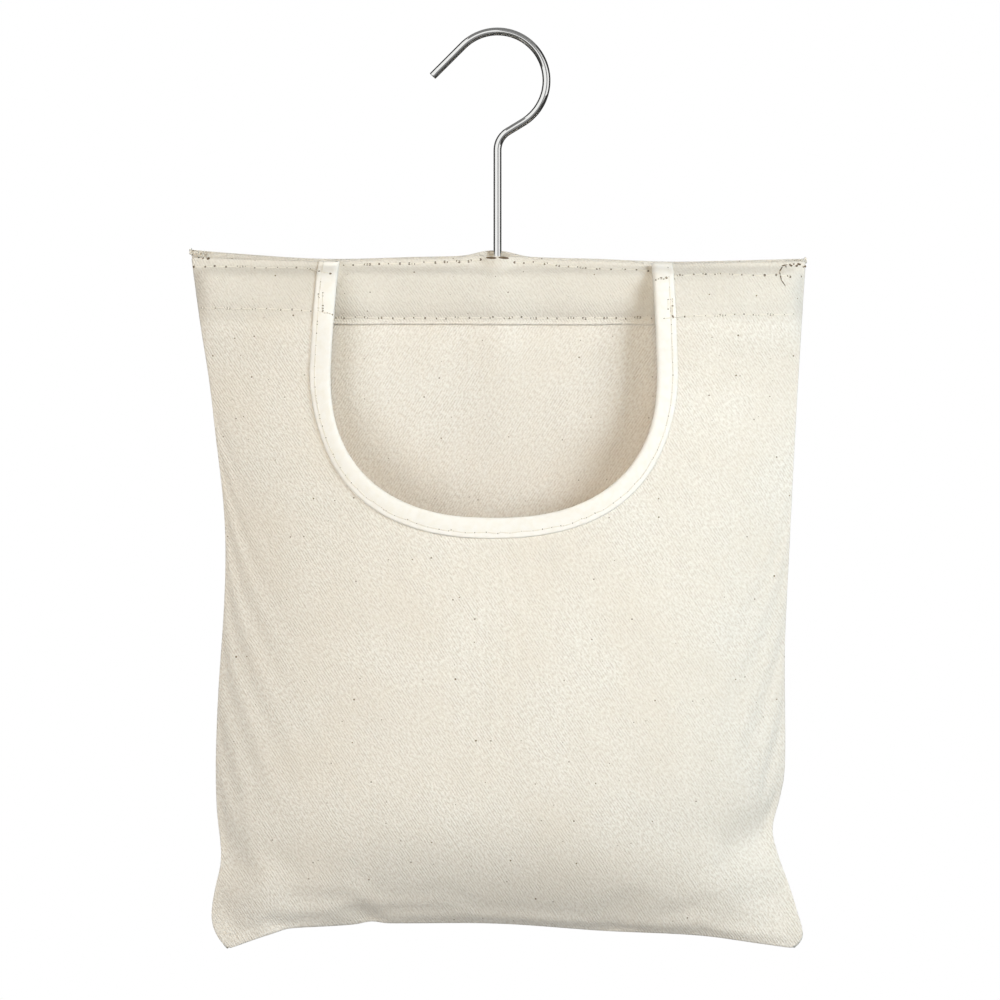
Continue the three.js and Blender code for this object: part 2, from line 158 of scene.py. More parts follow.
# Rows of stitches
ROW_END = 151.5 * MM  # where a row stops before the bag's side
RIGHT_ROW_DROP = 3.1 * MM  # how much lower the right tab's rows are sewn
CORNER_STITCHES = 11
CORNER_PITCH = 0.85 * MM

# Fineness of the meshes
WIRE_SIDES = 28
WIRE_STEP = 2.5 * MM
CROOK_STEPS = 64
NECK_STEPS = 20
TAB_STEPS = 30
HEM_STEPS = (15, 14, 12, 10, 8, 6, 5, 4, 3, 2, 1, 0)  # the tab's lines that its turned hem follows
SIDE_STEPS = 52
FLOOR_STEPS = 76
RINGS = 38
TAPE_RINGS = 3
RING_CROWDING = 1.3  # how much closer the rings lie towards the outline
BACK_COLUMNS = 66
BACK_ROWS = 66
CASING_TOP = -110 * MM
CASING_STEP = 2 * MM
STRIP_COLUMNS = 104
STRIP_ROWS = 18
SEAM_STEPS = 60

# How the cloth settles
PRESSURE = 0.5
SETTLE_FRAMES = 22


def clamp(t):
    return min(max(t, 0.0), 1.0)


def smooth(t):
    t = clamp(t)
    return t * t * (3 - 2 * t)


def mix(a, b, t):
    return a + (b - a) * t


def steps(count):
    """Even shares from 0 to 1, both included."""
    return [i / count for i in range(count + 1)]


def through(points):
    """A smooth line through (place, value) points in millimetres, as a function in metres."""
    knots = sorted((place * MM, value * MM) for place, value in points)
    places = [place for place, _ in knots]
    last = len(knots) - 1

    def slope(i):
        before, after = knots[max(i - 1, 0)], knots[min(i + 1, last)]
        return (after[1] - before[1]) / (after[0] - before[0])

    def value_at(place):
        i = min(max(bisect.bisect_right(places, place) - 1, 0), last - 1)
        (start, a), (end, b) = knots[i], knots[i + 1]
        span = end - start
        t = clamp((place - start) / span)
        bend_a, bend_b = slope(i) * span, slope(i + 1) * span
        rise = (2 * t - 3) * t * t
        return a * (1 + rise) - b * rise + bend_a * t * (1 - t) ** 2 - bend_b * t * t * (1 - t)

    return value_at


left_side = through(LEFT_SIDE)
right_side = through(RIGHT_SIDE)
top_edge = through(TOP_EDGE)
bottom_edge = through(BOTTOM_EDGE)
tab_top = through(TAB_TOP)


def half_width(z):
    return (right_side(z) - left_side(z)) / 2


def middle(z):
    return (right_side(z) + left_side(z)) / 2


def aside(x, z):
    """Share of the way from the bag's middle out to its side."""
    return abs(x - middle(z)) / half_width(z)


# How far the cloth stands from the middle plane
def shoulder(t):
    """A height that falls roundly from 1 in the middle to 0 at the edge."""
    return 1 - clamp(t) ** ROUNDNESS


def over_bar(x, z, firm=1):
    """The casing's cloth, drawn over the bar and down to the rows of stitches."""
    bar_end = BAR_HIGH.x - BAR_EDGE
    upper, lower = BAR_HIGH.z - BAR_EDGE, BAR_LOW.z + BAR_EDGE
    past_end = shoulder((abs(x) - bar_end) / (half_width(z) - bar_end))
    above = 1 - firm * clamp((z - upper) / (TOP_ROW - upper)) ** BAR_CROWN
    below = 1 - clamp((lower - z) / (lower - LOWER_ROW)) ** BAR_FOOT
    return CASING_ROOM * past_end * above * below


def casing(x, z):
    """How far the casing's cloth stands from the middle plane on either side, parted at the shank."""
    parted = SLIT_ROOM * (1 - (x / SLIT_HALF) ** 2) if z > BAR_HIGH.z else 0
    return REST_GAP + max(over_bar(x, z), parted, 0)


def pinch(x, z):
    """How far the row under the bar is drawn to the front, where strip and back are sewn together."""
    lower = BAR_LOW.z + BAR_EDGE
    drawn = smooth((lower - z) / (lower - LOWER_ROW)) * (1 - smooth((STRIP_EDGE - z) / (60 * MM)))
    return PINCH * drawn * shoulder(aside(x, z) ** 3)


def crest(x, z):
    """A soft upright fold in the middle, where the hook draws casing and back up to the front."""
    hang = TOP_ROW - z
    spread = mix(*CREST_HALF, clamp(hang / (120 * MM)))
    height = mix(*CREST_HEIGHT, clamp(hang / (60 * MM)))
    ends = smooth(hang / (10 * MM)) * (1 - smooth((STRIP_EDGE - z) / (90 * MM)))
    return height * ends * math.exp(-((x - CREST_X) / spread) ** 2)


def fullness(x, z, start):
    """Share of the pouch's depth at a place, from a level where it starts to fill."""
    down = clamp((start - z) / (start - bottom_edge(x)))
    past = ((down - BELLY) / (1 - BELLY)) ** UNDERSIDE if down > BELLY else 1 - down / BELLY
    return math.cos(past * math.pi / 2) * shoulder(aside(x, z))


def fold_depth(x, z):
    """How far soft folds draw the front cloth in at a place."""
    depth = 0
    here = Vector((x, z))
    for start, end, half, most in FRONT_FOLDS:
        start, end = Vector(start) * MM, Vector(end) * MM
        along = end - start
        share = clamp((here - start).dot(along) / along.length_squared)
        off = (here - start - along * share).length / (half * MM)
        depth += most * MM * (1 - share) ** 0.5 * math.exp(-off * off)
    return depth


def droop(x, z):
    """How far the lower left corner hangs back out of the bag's plane."""
    outward = smooth((DROOP_X - x) / (30 * MM))
    downward = smooth((DROOP_LEVEL - z) / (36 * MM))
    return CORNER_DROOP * outward * downward


def dimple(z, level, half=1.6 * MM):
    """Share of a valley along a row of stitches."""
    return math.exp(-((z - level) / half) ** 2)


def ripple(x, z, size, seed):
    """Slow unevenness of hand-hung cloth, from -1 to 1."""
    return noise.noise(Vector((x / size, z / size, seed)))


def tab_lift(x, z):
    """How far the tabs and the mouth's sides, sewn down only at the top, stand off the casing."""
    hang = TOP_ROW - z
    rise = 0.55 * smooth(hang / (12 * MM)) + 0.45 * clamp(hang / (30 * MM))
    settled = smooth((MOUTH_SHOULDER - z) / (110 * MM))
    return TAB_LIFT * rise * (1 - settled) * shoulder(aside(x, z))


def front_y(x, z, sizes):
    """The face of the front cloth: over the bar, off the casing and out round the pouch."""
    hang = BAR_MIDDLE - z
    drawn = over_bar(x, max(z, BAR_MIDDLE), TAB_FIRMNESS) * (1 - smooth(hang / (45 * MM)))
    layers = mix(TAB_LAYERS, sizes.cloth_thickness + REST_GAP, smooth((STRIP_EDGE - z) / (40 * MM)))
    pressed = 0.4 * MM * max(dimple(z, TOP_ROW), dimple(z, TAB_ROW))
    full = sizes.front_depth * fullness(x, z, BAR_MIDDLE) + tab_lift(x, z)
    loose = smooth(full / (6 * MM))
    uneven = 0.9 * MM * ripple(x, z, 55 * MM, 3.1) * loose
    folds = min(fold_depth(x, z), 0.7 * full)
    return droop(x, z) - (drawn + layers - pressed + full + uneven - folds)


def back_y(x, z, sizes):
    """The face of the back cloth: upright under the bar and out round the pouch lower down."""
    upright = mix(0.3, 1, smooth((LOWER_ROW - z) / (150 * MM)))
    full = sizes.back_depth * fullness(x, z, LOWER_ROW) * upright
    uneven = 0.8 * MM * ripple(x, z, 60 * MM, 8.7) * smooth(full / (4 * MM))
    lower = BAR_LOW.z + BAR_EDGE
    below_bar = smooth((lower - z) / (lower - LOWER_ROW))
    drawn = pinch(x, z) + crest(x, z) * below_bar
    return casing(x, z) + sizes.cloth_thickness + full + uneven - drawn + droop(x, z)


def strip_y(x, z, sizes):
    """The face of the casing strip, a little slack over the bar and pressed in by its rows."""
    pressed = 0.12 * MM * max(dimple(z, TOP_ROW), dimple(z, LOWER_ROW))
    uneven = 0.5 * MM * ripple(x, z, 22 * MM, 5.2)
    slack = smooth(over_bar(x, z) / CASING_ROOM)
    drawn = pinch(x, z) + crest(x, z)
    return -(casing(x, z) + sizes.strip_thickness - pressed + uneven * slack + drawn)


# Meshes
def make_piece(name, bm, materials, node, body="bag"):
    """Links a finished mesh as a piece that rides on a body and stands for a CAD node."""
    mesh = bpy.data.meshes.new(name)
    bm.to_mesh(mesh)
    bm.free()
    mesh.shade_smooth()
    for material in materials:
        mesh.materials.append(material)
    piece = bpy.data.objects.new(name, mesh)
    bpy.context.scene.collection.objects.link(piece)
    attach(piece, body)
    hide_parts(node)
    return piece


def sheet_mesh(points, flat, facing):
    """A sheet of quads through rows of points, with its place on the flat cloth as its UV map."""
    rows, columns = len(points), len(points[0])
    bm = bmesh.new()
    bmesh.ops.create_grid(bm, x_segments=columns - 1, y_segments=rows - 1, size=0.5)
    bm.verts.index_update()
    uv = bm.loops.layers.uv.new("flat")
    for vert in bm.verts:
        vert.co = points[vert.index // columns][vert.index % columns]
    for face in bm.faces:
        for loop in face.loops:
            i, j = divmod(loop.vert.index, columns)
            loop[uv].uv = flat[i][j]
    bm.normal_update()
    if sum(face.normal.dot(facing) for face in bm.faces) < 0:
        bmesh.ops.reverse_faces(bm, faces=bm.faces[:])
    return bm


def thicken(piece, thickness):
    """Gives a sheet rounded cells and the thickness of its cloth, on its inner side, whose face
    takes the piece's last material."""
    subdivision = piece.modifiers.new("Rounded", "SUBSURF")
    subdivision.levels = subdivision.render_levels = 1
    solid = piece.modifiers.new("Thickness", "SOLIDIFY")
    solid.thickness = thickness
    solid.offset = -1
    solid.material_offset = len(piece.data.materials) - 1


def settle(piece, held, slack):
    """Lets a sheet hang and fill under Blender's cloth, and keeps the shape that it settles to."""
    group = piece.vertex_groups.new(name="held")
    for index, weight in enumerate(held):
        group.add([index], weight, "REPLACE")
    modifier = piece.modifiers.new("Settle", "CLOTH")
    cloth = modifier.settings
    cloth.quality = 7
    cloth.mass = 0.2
    cloth.tension_stiffness = cloth.compression_stiffness = 25
    cloth.shear_stiffness = 12
    cloth.bending_stiffness = 5
    cloth.tension_damping = cloth.compression_damping = 15
    cloth.air_damping = 4
    cloth.vertex_group_mass = group.name
    cloth.shrink_min = -slack
    cloth.use_pressure = True
    cloth.uniform_pressure_force = PRESSURE
    modifier.collision_settings.use_collision = False
    modifier.point_cache.frame_start = 1
    modifier.point_cache.frame_end = SETTLE_FRAMES
    scene = bpy.context.scene
    for number in range(1, SETTLE_FRAMES + 1):
        scene.frame_set(number)
    settled = piece.evaluated_get(bpy.context.evaluated_depsgraph_get()).to_mesh()
    places = [vert.co.copy() for vert in settled.vertices]
    piece.modifiers.remove(modifier)
    piece.vertex_groups.remove(group)
    for vert, place in zip(piece.data.vertices, places):
        vert.co = place
    piece.data.update()
    scene.frame_set(1)


# Materials
def linear(code):
    """An sRGB hex colour as the linear values that a shader takes."""
    shares = [int(code[i:i + 2], 16) / 255 for i in (1, 3, 5)]
    return [c / 12.92 if c <= 0.04045 else ((c + 0.055) / 1.055) ** 2.4 for c in shares]


def opaque(colour):
    return (*colour, 1)


def add_node(tree, kind, inputs=None, **settings):
    """Adds a shader node with its settings. An input takes a number, a colour, an output of another
    node, or a node, which gives its first output."""
    node = tree.nodes.new("ShaderNode" + kind)
    for name, value in settings.items():
        setattr(node, name, value)
    for name, value in (inputs or {}).items():
        if isinstance(value, bpy.types.Node):
            value = value.outputs[0]
        if isinstance(value, bpy.types.NodeSocket):
            tree.links.new(value, node.inputs[name])
        else:
            node.inputs[name].default_value = value
    return node


def make_material(name, build, *settings):
    """A material that shows the surface which a function builds in its node tree."""
    material = bpy.data.materials.new(name)
    material.use_nodes = True
    tree = material.node_tree
    tree.nodes.clear()
    add_node(tree, "OutputMaterial", {"Surface": build(tree, *settings)})
    return material


def twill_weave(tree, flat, in_mm, colours):
    """Height of the twill's face: soft slubs, and steep wales that come and go. The wales are drawn
    about twice as wide as woven, so that they show."""
    slub, cloud = 1.0526, 11.11  # millimetres
    band = 0.1 * math.pi  # width of the wave texture's bands at a scale of 1
    turned = add_node(tree, "Mapping", {
        "Vector": flat, "Rotation": (0, 0, math.radians(-33)), "Scale": PER_MM,
    })
    wales = add_node(tree, "TexWave", {
        "Vector": turned, "Scale": band * MM / colours.wale_spacing, "Distortion": 1.6,
        "Detail": 2, "Detail Scale": 0.5,
    }, bands_direction="X").outputs["Fac"]
    drawn_out = add_node(tree, "Mapping", {"Vector": turned, "Scale": (1, 0.6, 1)})
    slubs = add_node(tree, "TexNoise", {
        "Vector": drawn_out, "Scale": 1 / slub, "Detail": 2, "Roughness": 0.55,
    }, noise_dimensions="2D")
    clouds = add_node(tree, "TexNoise", {
        "Vector": in_mm, "Scale": 1 / cloud, "Detail": 2,
    }, noise_dimensions="2D")
    clear = add_node(tree, "MapRange", {
        "Value": clouds, "From Min": 0.38, "From Max": 0.62, "To Min": 0.15, "To Max": 0.5,
    })
    wave = add_node(tree, "Math", {0: wales, 1: 0.5}, operation="SUBTRACT")
    seen = add_node(tree, "Math", {0: wave, 1: clear}, operation="MULTIPLY")
    return add_node(tree, "Math", {0: slubs, 1: 1.5, 2: seen}, operation="MULTIPLY_ADD")


def husk_flecks(tree, in_mm):
    """Where flecks of seed husk lie: at most one in each centimetre of cloth, of any size."""
    apart, radius, fade = 10, 0.65, 0.25  # millimetres, the radius that of the largest
    husks = add_node(tree, "TexVoronoi", {
        "Vector": in_mm, "Scale": 1 / apart,
    }, voronoi_dimensions="2D")
    size = add_node(tree, "MapRange", {
        "Value": husks.outputs["Color"], "From Min": 0.5, "From Max": 1, "To Max": radius / apart,
    })
    inside = add_node(tree, "Math", {0: size, 1: husks.outputs["Distance"]}, operation="SUBTRACT")
    return add_node(tree, "Math", {0: inside, 1: apart / fade}, operation="MULTIPLY", use_clamp=True)


def natural_twill(tree, colours):
    """Unbleached cotton twill, woven and unwashed: a matt face with steep wales, soft slubs, slow
    warm patches and a few dark flecks of seed husk. Over the bar, above the casing strip's lower
    edge, the thin cloth is a little darker: painted shade, in place of light that does not pass through."""
    patch = 50  # millimetres
    flat = add_node(tree, "UVMap", uv_map="flat")
    in_mm = add_node(tree, "Mapping", {"Vector": flat, "Scale": PER_MM})
    weave = twill_weave(tree, flat, in_mm, colours)
    level = add_node(tree, "MapRange", {"Value": weave, "From Min": 0.35, "From Max": 1})
    shade = add_node(tree, "MixRGB", {
        "Fac": level, "Color1": opaque(colours.furrow), "Color2": opaque(colours.twill),
    })
    patches = add_node(tree, "TexNoise", {
        "Vector": in_mm, "Scale": 1 / patch, "Detail": 2,
    }, noise_dimensions="2D")
    warm = add_node(tree, "MapRange", {
        "Value": patches, "From Min": 0.35, "From Max": 0.75, "To Max": 0.42,
    })
    tinted = add_node(tree, "MixRGB", {
        "Fac": warm, "Color1": shade, "Color2": opaque(colours.warm_patch),
    })
    # Painted shade: above the casing strip's lower edge the colour is mixed halfway towards a darker tone,
    # where the bar lies behind the thin cloth and no light comes through it
    place = add_node(tree, "TexCoord").outputs["Object"]
    height = add_node(tree, "SeparateXYZ", {"Vector": place}).outputs["Z"]
    wood = add_node(tree, "MapRange", {
        "Value": height, "From Min": STRIP_EDGE - 1 * MM, "From Max": STRIP_EDGE + 5 * MM,
        "To Max": 0.5,
    })
    shade_painted_twill = add_node(tree, "MixRGB", {
        "Fac": wood, "Color1": tinted, "Color2": opaque(colours.painted_bar_shade),
    })
    flecked = add_node(tree, "MixRGB", {
        "Fac": husk_flecks(tree, in_mm), "Color1": shade_painted_twill, "Color2": opaque(colours.fleck),
    })
    relief = add_node(tree, "Bump", {"Strength": 0.8, "Distance": 0.3 * MM, "Height": weave})
    return add_node(tree, "BsdfPrincipled", {
        "Base Color": flecked, "Roughness": 0.92, "Specular IOR Level": 0.2, "Sheen Weight": 0.12,
        "Sheen Roughness": 0.5, "Normal": relief,
    })


def mottled(tree, pattern, dark, light, strength, depth):
    """Colour and relief of a surface that a pattern varies between two tones."""
    colour = add_node(tree, "MixRGB", {
        "Fac": pattern, "Color1": opaque(dark), "Color2": opaque(light),
    })
    relief = add_node(tree, "Bump", {"Strength": strength, "Distance": depth, "Height": pattern})
    return {"Base Color": colour, "Normal": relief}


def raw_twill(tree, colours):
    """The inner face of the twill, left raw: tan and rough, so that the light that goes round
    inside the pouch turns warm."""
    place = add_node(tree, "TexCoord").outputs["Object"]
    nap = add_node(tree, "TexNoise", {"Vector": place, "Scale": 1 / (2 * MM), "Detail": 3})
    face = mottled(tree, nap, colours.raw_shade, colours.raw, 0.4, 0.2 * MM)
    return add_node(tree, "BsdfPrincipled", {
        **face, "Roughness": 0.95, "Specular IOR Level": 0.15,
    })


def bias_tape(tree, colours):
    """Bleached cotton bias tape, woven plain and cut on the slant: white, flat and matt, with
    threads that cross its length at 45 degrees."""
    thread_gap, mottle = 0.5 * MM, 4.1667 * MM
    per_thread = 1 / thread_gap
    flat = add_node(tree, "UVMap", uv_map="flat")
    slanted = add_node(tree, "Mapping", {
        "Vector": flat, "Rotation": (0, 0, math.radians(45)),
        "Scale": (per_thread, per_thread, per_thread),
    })
    weave = add_node(tree, "TexChecker", {"Vector": slanted, "Scale": 1}).outputs["Fac"]
    uneven = add_node(tree, "TexNoise", {"Vector": slanted, "Scale": thread_gap / mottle})
    colour = add_node(tree, "ValToRGB", {"Fac": uneven})
    tones = ((0.3, colours.tape_shade), (0.6, colours.tape))
    for stop, (position, tone) in zip(colour.color_ramp.elements, tones):
        stop.position = position
        stop.color = opaque(tone)
    relief = add_node(tree, "Bump", {"Strength": 0.25, "Distance": 0.1 * MM, "Height": weave})
    return add_node(tree, "BsdfPrincipled", {
        "Base Color": colour, "Roughness": 0.85, "Specular IOR Level": 0.25, "Sheen Weight": 0.1,
        "Normal": relief,
    })


def cotton_thread(tree, colours):
    """Spun cotton sewing thread: off-white, with a soft shine where the twist catches the light."""
    place = add_node(tree, "TexCoord").outputs["Object"]
    twist = add_node(tree, "TexNoise", {"Vector": place, "Scale": 1 / (0.8 * MM)})
    face = mottled(tree, twist, colours.thread_shade, colours.thread, 0.4, 0.1 * MM)
    return add_node(tree, "BsdfPrincipled", {**face, "Roughness": 0.6})


def deep_painted_shade(tree, colours):
    """Painted shade for the pit that a needle leaves between two stitches, and for slits and a crease:
    cloth in deep shade, with no shine.
    """
    place = add_node(tree, "TexCoord").outputs["Object"]
    depth = add_node(tree, "TexNoise", {"Vector": place, "Scale": 1 / (3 * MM)})
    colour = add_node(tree, "MixRGB", {
        "Fac": depth, "Color1": opaque(colours.deep_painted_shade), "Color2": opaque(colours.painted_shade_rim),
    })
    return add_node(tree, "BsdfPrincipled", {
        "Base Color": colour, "Roughness": 1, "Specular IOR Level": 0,
    })


def drawn_steel(tree, colours):
    """Bright drawn steel wire: mirror-like, with slow, faint changes of its polish."""
    place = add_node(tree, "TexCoord").outputs["Object"]
    polish = add_node(tree, "TexNoise", {"Vector": place, "Scale": 1 / (6 * MM), "Detail": 2})
    rough = add_node(tree, "MapRange", {"Value": polish, "To Min": 0.06, "To Max": 0.12})
    return add_node(tree, "BsdfPrincipled", {
        "Base Color": opaque(colours.steel), "Metallic": 1, "Roughness": rough,
    })


def sanded_beech(tree, colours):
    """Sanded beech with no finish: pale, with fine grain along the bar and short dark rays."""
    place = add_node(tree, "TexCoord").outputs["Object"]
    length, width = 25 * MM, 1.1111 * MM
    along = add_node(tree, "Mapping", {
        "Vector": place, "Scale": (1 / length, 1 / width, 1 / width),
    })
    grain = add_node(tree, "TexNoise", {"Vector": along, "Scale": 1, "Detail": 4})
    face = mottled(tree, grain, colours.beech_grain, colours.beech, 0.3, 0.2 * MM)
    return add_node(tree, "BsdfPrincipled", {**face, "Roughness": 0.6})


FINISHES = {
    "natural cotton twill": natural_twill,
    "raw inner twill": raw_twill,
    "white bias tape": bias_tape,
    "cotton sewing thread": cotton_thread,
    "painted shade in holes and creases": deep_painted_shade,
    "bright drawn steel": drawn_steel,
    "sanded beech": sanded_beech,
}


def finishes(scene, *names):
    """Materials by name, each made the first time that it is asked for."""
    return [
        bpy.data.materials.get(name) or make_material(name, FINISHES[name], scene.peg_bag_colours)
        for name in names
    ]


def refinish(node, material):
    """Gives a CAD node's object a material in place of its own."""
    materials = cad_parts[node].data.materials
    materials.clear()
    materials.append(material)


# Places on the front cloth: lines that run from the mouth out to the sides and the bottom
def mouth_side(sign, t):
    """A point of the mouth's straight side, from the top of the tab down to the rounded floor."""
    top_x = MOUTH_TOP_LEFT if sign < 0 else MOUTH_TOP_RIGHT
    foot_x = MOUTH_MIDDLE + sign * MOUTH_HALF
    return Vector((mix(top_x, foot_x, t ** MOUTH_SPREAD), mix(tab_top(top_x), MOUTH_SHOULDER, t)))


def mouth_floor(angle):
    """A point of the mouth's rounded floor; the angle runs from the left side round to the right."""
    across, down = -math.cos(angle), math.sin(angle)
    power = MOUTH_SQUARENESS
    reach = (abs(across / MOUTH_HALF) ** power + abs(down / MOUTH_ROUND) ** power) ** (-1 / power)
    return Vector((MOUTH_MIDDLE + across * reach, MOUTH_SHOULDER - down * reach))


def tab_line(sign, t):
    side = left_side if sign < 0 else right_side
    corner = TAB_TOP[0] if sign < 0 else TAB_TOP[-1]
    level = mix(corner[1] * MM, MOUTH_SHOULDER, t)
    return mouth_side(sign, t), Vector((side(level), level))


def front_lines():
    """Pairs of points, on the mouth edge and on the outline, from the left tab to the right one."""
    left_foot, right_foot = LEFT_SIDE[-1][0] * MM, RIGHT_SIDE[-1][0] * MM
    corner_angle = math.radians(62)
    lines = [tab_line(-1, t) for t in steps(TAB_STEPS)]
    for t in steps(SIDE_STEPS)[1:]:
        level = mix(MOUTH_SHOULDER, left_foot, t)
        lines.append((mouth_floor(corner_angle * t), Vector((left_side(level), level))))
    for t in steps(FLOOR_STEPS)[1:]:
        x = mix(BOTTOM_EDGE[0][0], BOTTOM_EDGE[-1][0], t) * MM
        angle = mix(corner_angle, math.pi - corner_angle, t)
        lines.append((mouth_floor(angle), Vector((x, bottom_edge(x)))))
    for t in steps(SIDE_STEPS)[1:]:
        level = mix(right_foot, MOUTH_SHOULDER, t)
        angle = math.pi - corner_angle * (1 - t)
        lines.append((mouth_floor(angle), Vector((right_side(level), level))))
    return lines + [tab_line(1, 1 - t) for t in steps(TAB_STEPS)[1:]]


def ring_places(line, tape_width):
    """Points along a line of the front cloth, with the first rings under the tape."""
    start, end = line
    under_tape = tape_width / (end - start).length
    shares = [under_tape * t for t in steps(TAPE_RINGS)]
    shares += [mix(1, under_tape, (1 - t) ** RING_CROWDING) for t in steps(RINGS - TAPE_RINGS)[1:]]
    return [start.lerp(end, share) for share in shares]


def front_panel_points(sizes):
    """Points of the front cloth, its flat places and how firmly each is held: turned tab hems,
    the face from the mouth to the outline, and a last ring that rounds into the seam."""
    points, flat, held = [], [], []
    hem = [step / TAB_STEPS for step in HEM_STEPS]
    face = front_lines()
    turned_left = [tab_line(-1, t) for t in hem]
    turned_right = [tab_line(1, t) for t in reversed(hem)]
    for number, line in enumerate(turned_left + face + turned_right):
        turned = not len(hem) <= number < len(hem) + len(face)
        places = ring_places(line, sizes.tape_width)
        row, row_held = [], []
        for ring, place in enumerate(places):
            x, z = place
            if turned:
                x -= math.copysign(HEM_INSET * ring / RINGS, x)
            y = front_y(x, z, sizes) + (HEM_GAP if turned else 0)
            row.append(Vector((x, y, z)))
            free = smooth((STRIP_EDGE - z) / (30 * MM)) * smooth((RINGS - ring) / 2)
            tape_hold = TAPE_HOLD * smooth(1 - ring / (2 * TAPE_RINGS))
            row_held.append(max(1 - free, tape_hold, SHAPE_HOLD))
        edge = row[-1].copy()
        edge.x *= SEAM_TUCK
        edge.y = edge.y + 0.3 * MM if turned else droop(edge.x, edge.z) - REST_GAP
        row.append(edge)
        row_held.append(1)
        points.append(row)
        flat.append([(p.x, p.z) for p in row])
        held.extend(row_held)
    for fold in (len(hem) - 1, len(hem) + len(face)):
        for point in points[fold]:
            point.y += FOLD_BACK
            point.z += FOLD_RISE
    return points, flat, held


def patch_place(u, v):
    """A place in the bag's outline, by its share across and down."""
    level_left = mix(LEFT_SIDE[0][0], LEFT_SIDE[-1][0], v) * MM
    level_right = mix(RIGHT_SIDE[0][0], RIGHT_SIDE[-1][0], v) * MM
    x_top = mix(TOP_EDGE[0][0], TOP_EDGE[-1][0], u) * MM
    x_bottom = mix(BOTTOM_EDGE[0][0], BOTTOM_EDGE[-1][0], u) * MM
    left = Vector((left_side(level_left), level_left))
    right = Vector((right_side(level_right), level_right))
    top = Vector((x_top, top_edge(x_top)))
    bottom = Vector((x_bottom, bottom_edge(x_bottom)))
    upper = Vector(TOP_EDGE[0]).lerp(Vector(TOP_EDGE[-1]), u)
    lower = Vector(BOTTOM_EDGE[0]).lerp(Vector(BOTTOM_EDGE[-1]), u)
    return left.lerp(right, u) + top.lerp(bottom, v) - upper.lerp(lower, v) * MM


# Properties
def length_property(label, description, size):
    return FloatProperty(name=label, description=description, default=size, unit="LENGTH")


def angle_property(label, description, degrees):
    return FloatProperty(
        name=label, description=description, default=math.radians(degrees), subtype="ANGLE")


def power_property(label, description, watts):
    return FloatProperty(name=label, description=description, default=watts, unit="POWER")


def tint_property(label, description, shares):
    return FloatVectorProperty(
        name=label, description=description, default=shares, size=3, min=0, max=1, subtype="COLOR")


def colour_property(label, description, code):
    return tint_property(label, description, linear(code))


class PegBagSizes(PropertyGroup):
    """Sizes of the wire, cloth, tape and thread."""

    wire_diameter: length_property("Wire", "Diameter of the hook's wire", 4 * MM)
    crook_radius: length_property("Crook", "Radius of the crook to the middle of the wire", 24.5 * MM)
    tip_length: length_property("Tip", "Length of the hook's straight tip", 21.5 * MM)
    tip_slope: angle_property("Tip slope", "Slope of the tip", 45)
    neck_angle: angle_property("Neck", "How far the neck leans from the shank", 58.7)
    neck_bend_radius: length_property("Neck bend", "Radius of the bend into the shank", 11 * MM)
    cloth_thickness: length_property("Cloth", "Thickness of the twill", 0.85 * MM)
    strip_thickness: length_property("Strip", "Thickness of the casing strip's lighter twill", 0.45 * MM)
    front_depth: length_property("Front depth", "How far the pouch stands out in front", 33 * MM)
    back_depth: length_property("Back depth", "How far the pouch stands out behind", 19 * MM)
    slack: FloatProperty(
        name="Slack", description="Share by which the cloth is larger than the shape it fills",
        default=0.001, subtype="FACTOR")
    tape_width: length_property("Tape", "Width of the folded tape", 9 * MM)
    thread_diameter: length_property("Thread", "Diameter of the sewing thread", 0.55 * MM)
    stitch_pitch: length_property("Stitch", "Length of a stitch", 5.2 * MM)


class PegBagColours(PropertyGroup):
    """Colours of the cloth, tape, thread, steel and wood, and the pattern of the weave."""

    wale_spacing: length_property("Wales", "Distance between the wales of the twill", 1.2 * MM)
    twill: colour_property("Twill", "Top of the twill's wales", "#F9F7F1")
    furrow: colour_property("Furrow", "Furrows between the wales", "#E4DED5")
    warm_patch: colour_property("Warm patch", "Slow warm unevenness of the cloth", "#EDE5D9")
    # Painted shade: the darker tone that cloth above the casing strip's lower edge is mixed halfway towards
    painted_bar_shade: colour_property("Over wood", "Thin cloth with the bar behind it", "#DDD9D1")
    fleck: colour_property("Fleck", "Seed husks in the cloth", "#84755F")
    raw: colour_property("Raw twill", "Inner face of the front cloth", "#E0AA68")
    raw_shade: colour_property("Raw shade", "Nap of the inner face", "#CC9352")
    tape: colour_property("Tape", "White bias tape", "#FEFDFA")
    tape_shade: colour_property("Tape shade", "Unevenness of the tape", "#FAF8F2")
    thread: colour_property("Thread", "Sewing thread", "#F9F7F0")
    thread_shade: colour_property("Thread shade", "Twist of the thread", "#E9E3D7")
    # Painted shade: the two tones of the dark discs that stand for the shade in needle holes, slits and a
    # crease
    deep_painted_shade: colour_property("Needle hole", "Deepest part of a needle hole", "#4A3F34")
    painted_shade_rim: colour_property("Needle rim", "Rim of a needle hole", "#8B7C69")
    steel: colour_property("Steel", "Bright steel wire", "#F0F0EE")
    beech: colour_property("Beech", "Pale wood of the bar", "#D9BE98")
    beech_grain: colour_property("Beech grain", "Darker grain of the bar", "#B08C63")
    floor: colour_property("Floor", "Studio floor", "#B0B0AE")


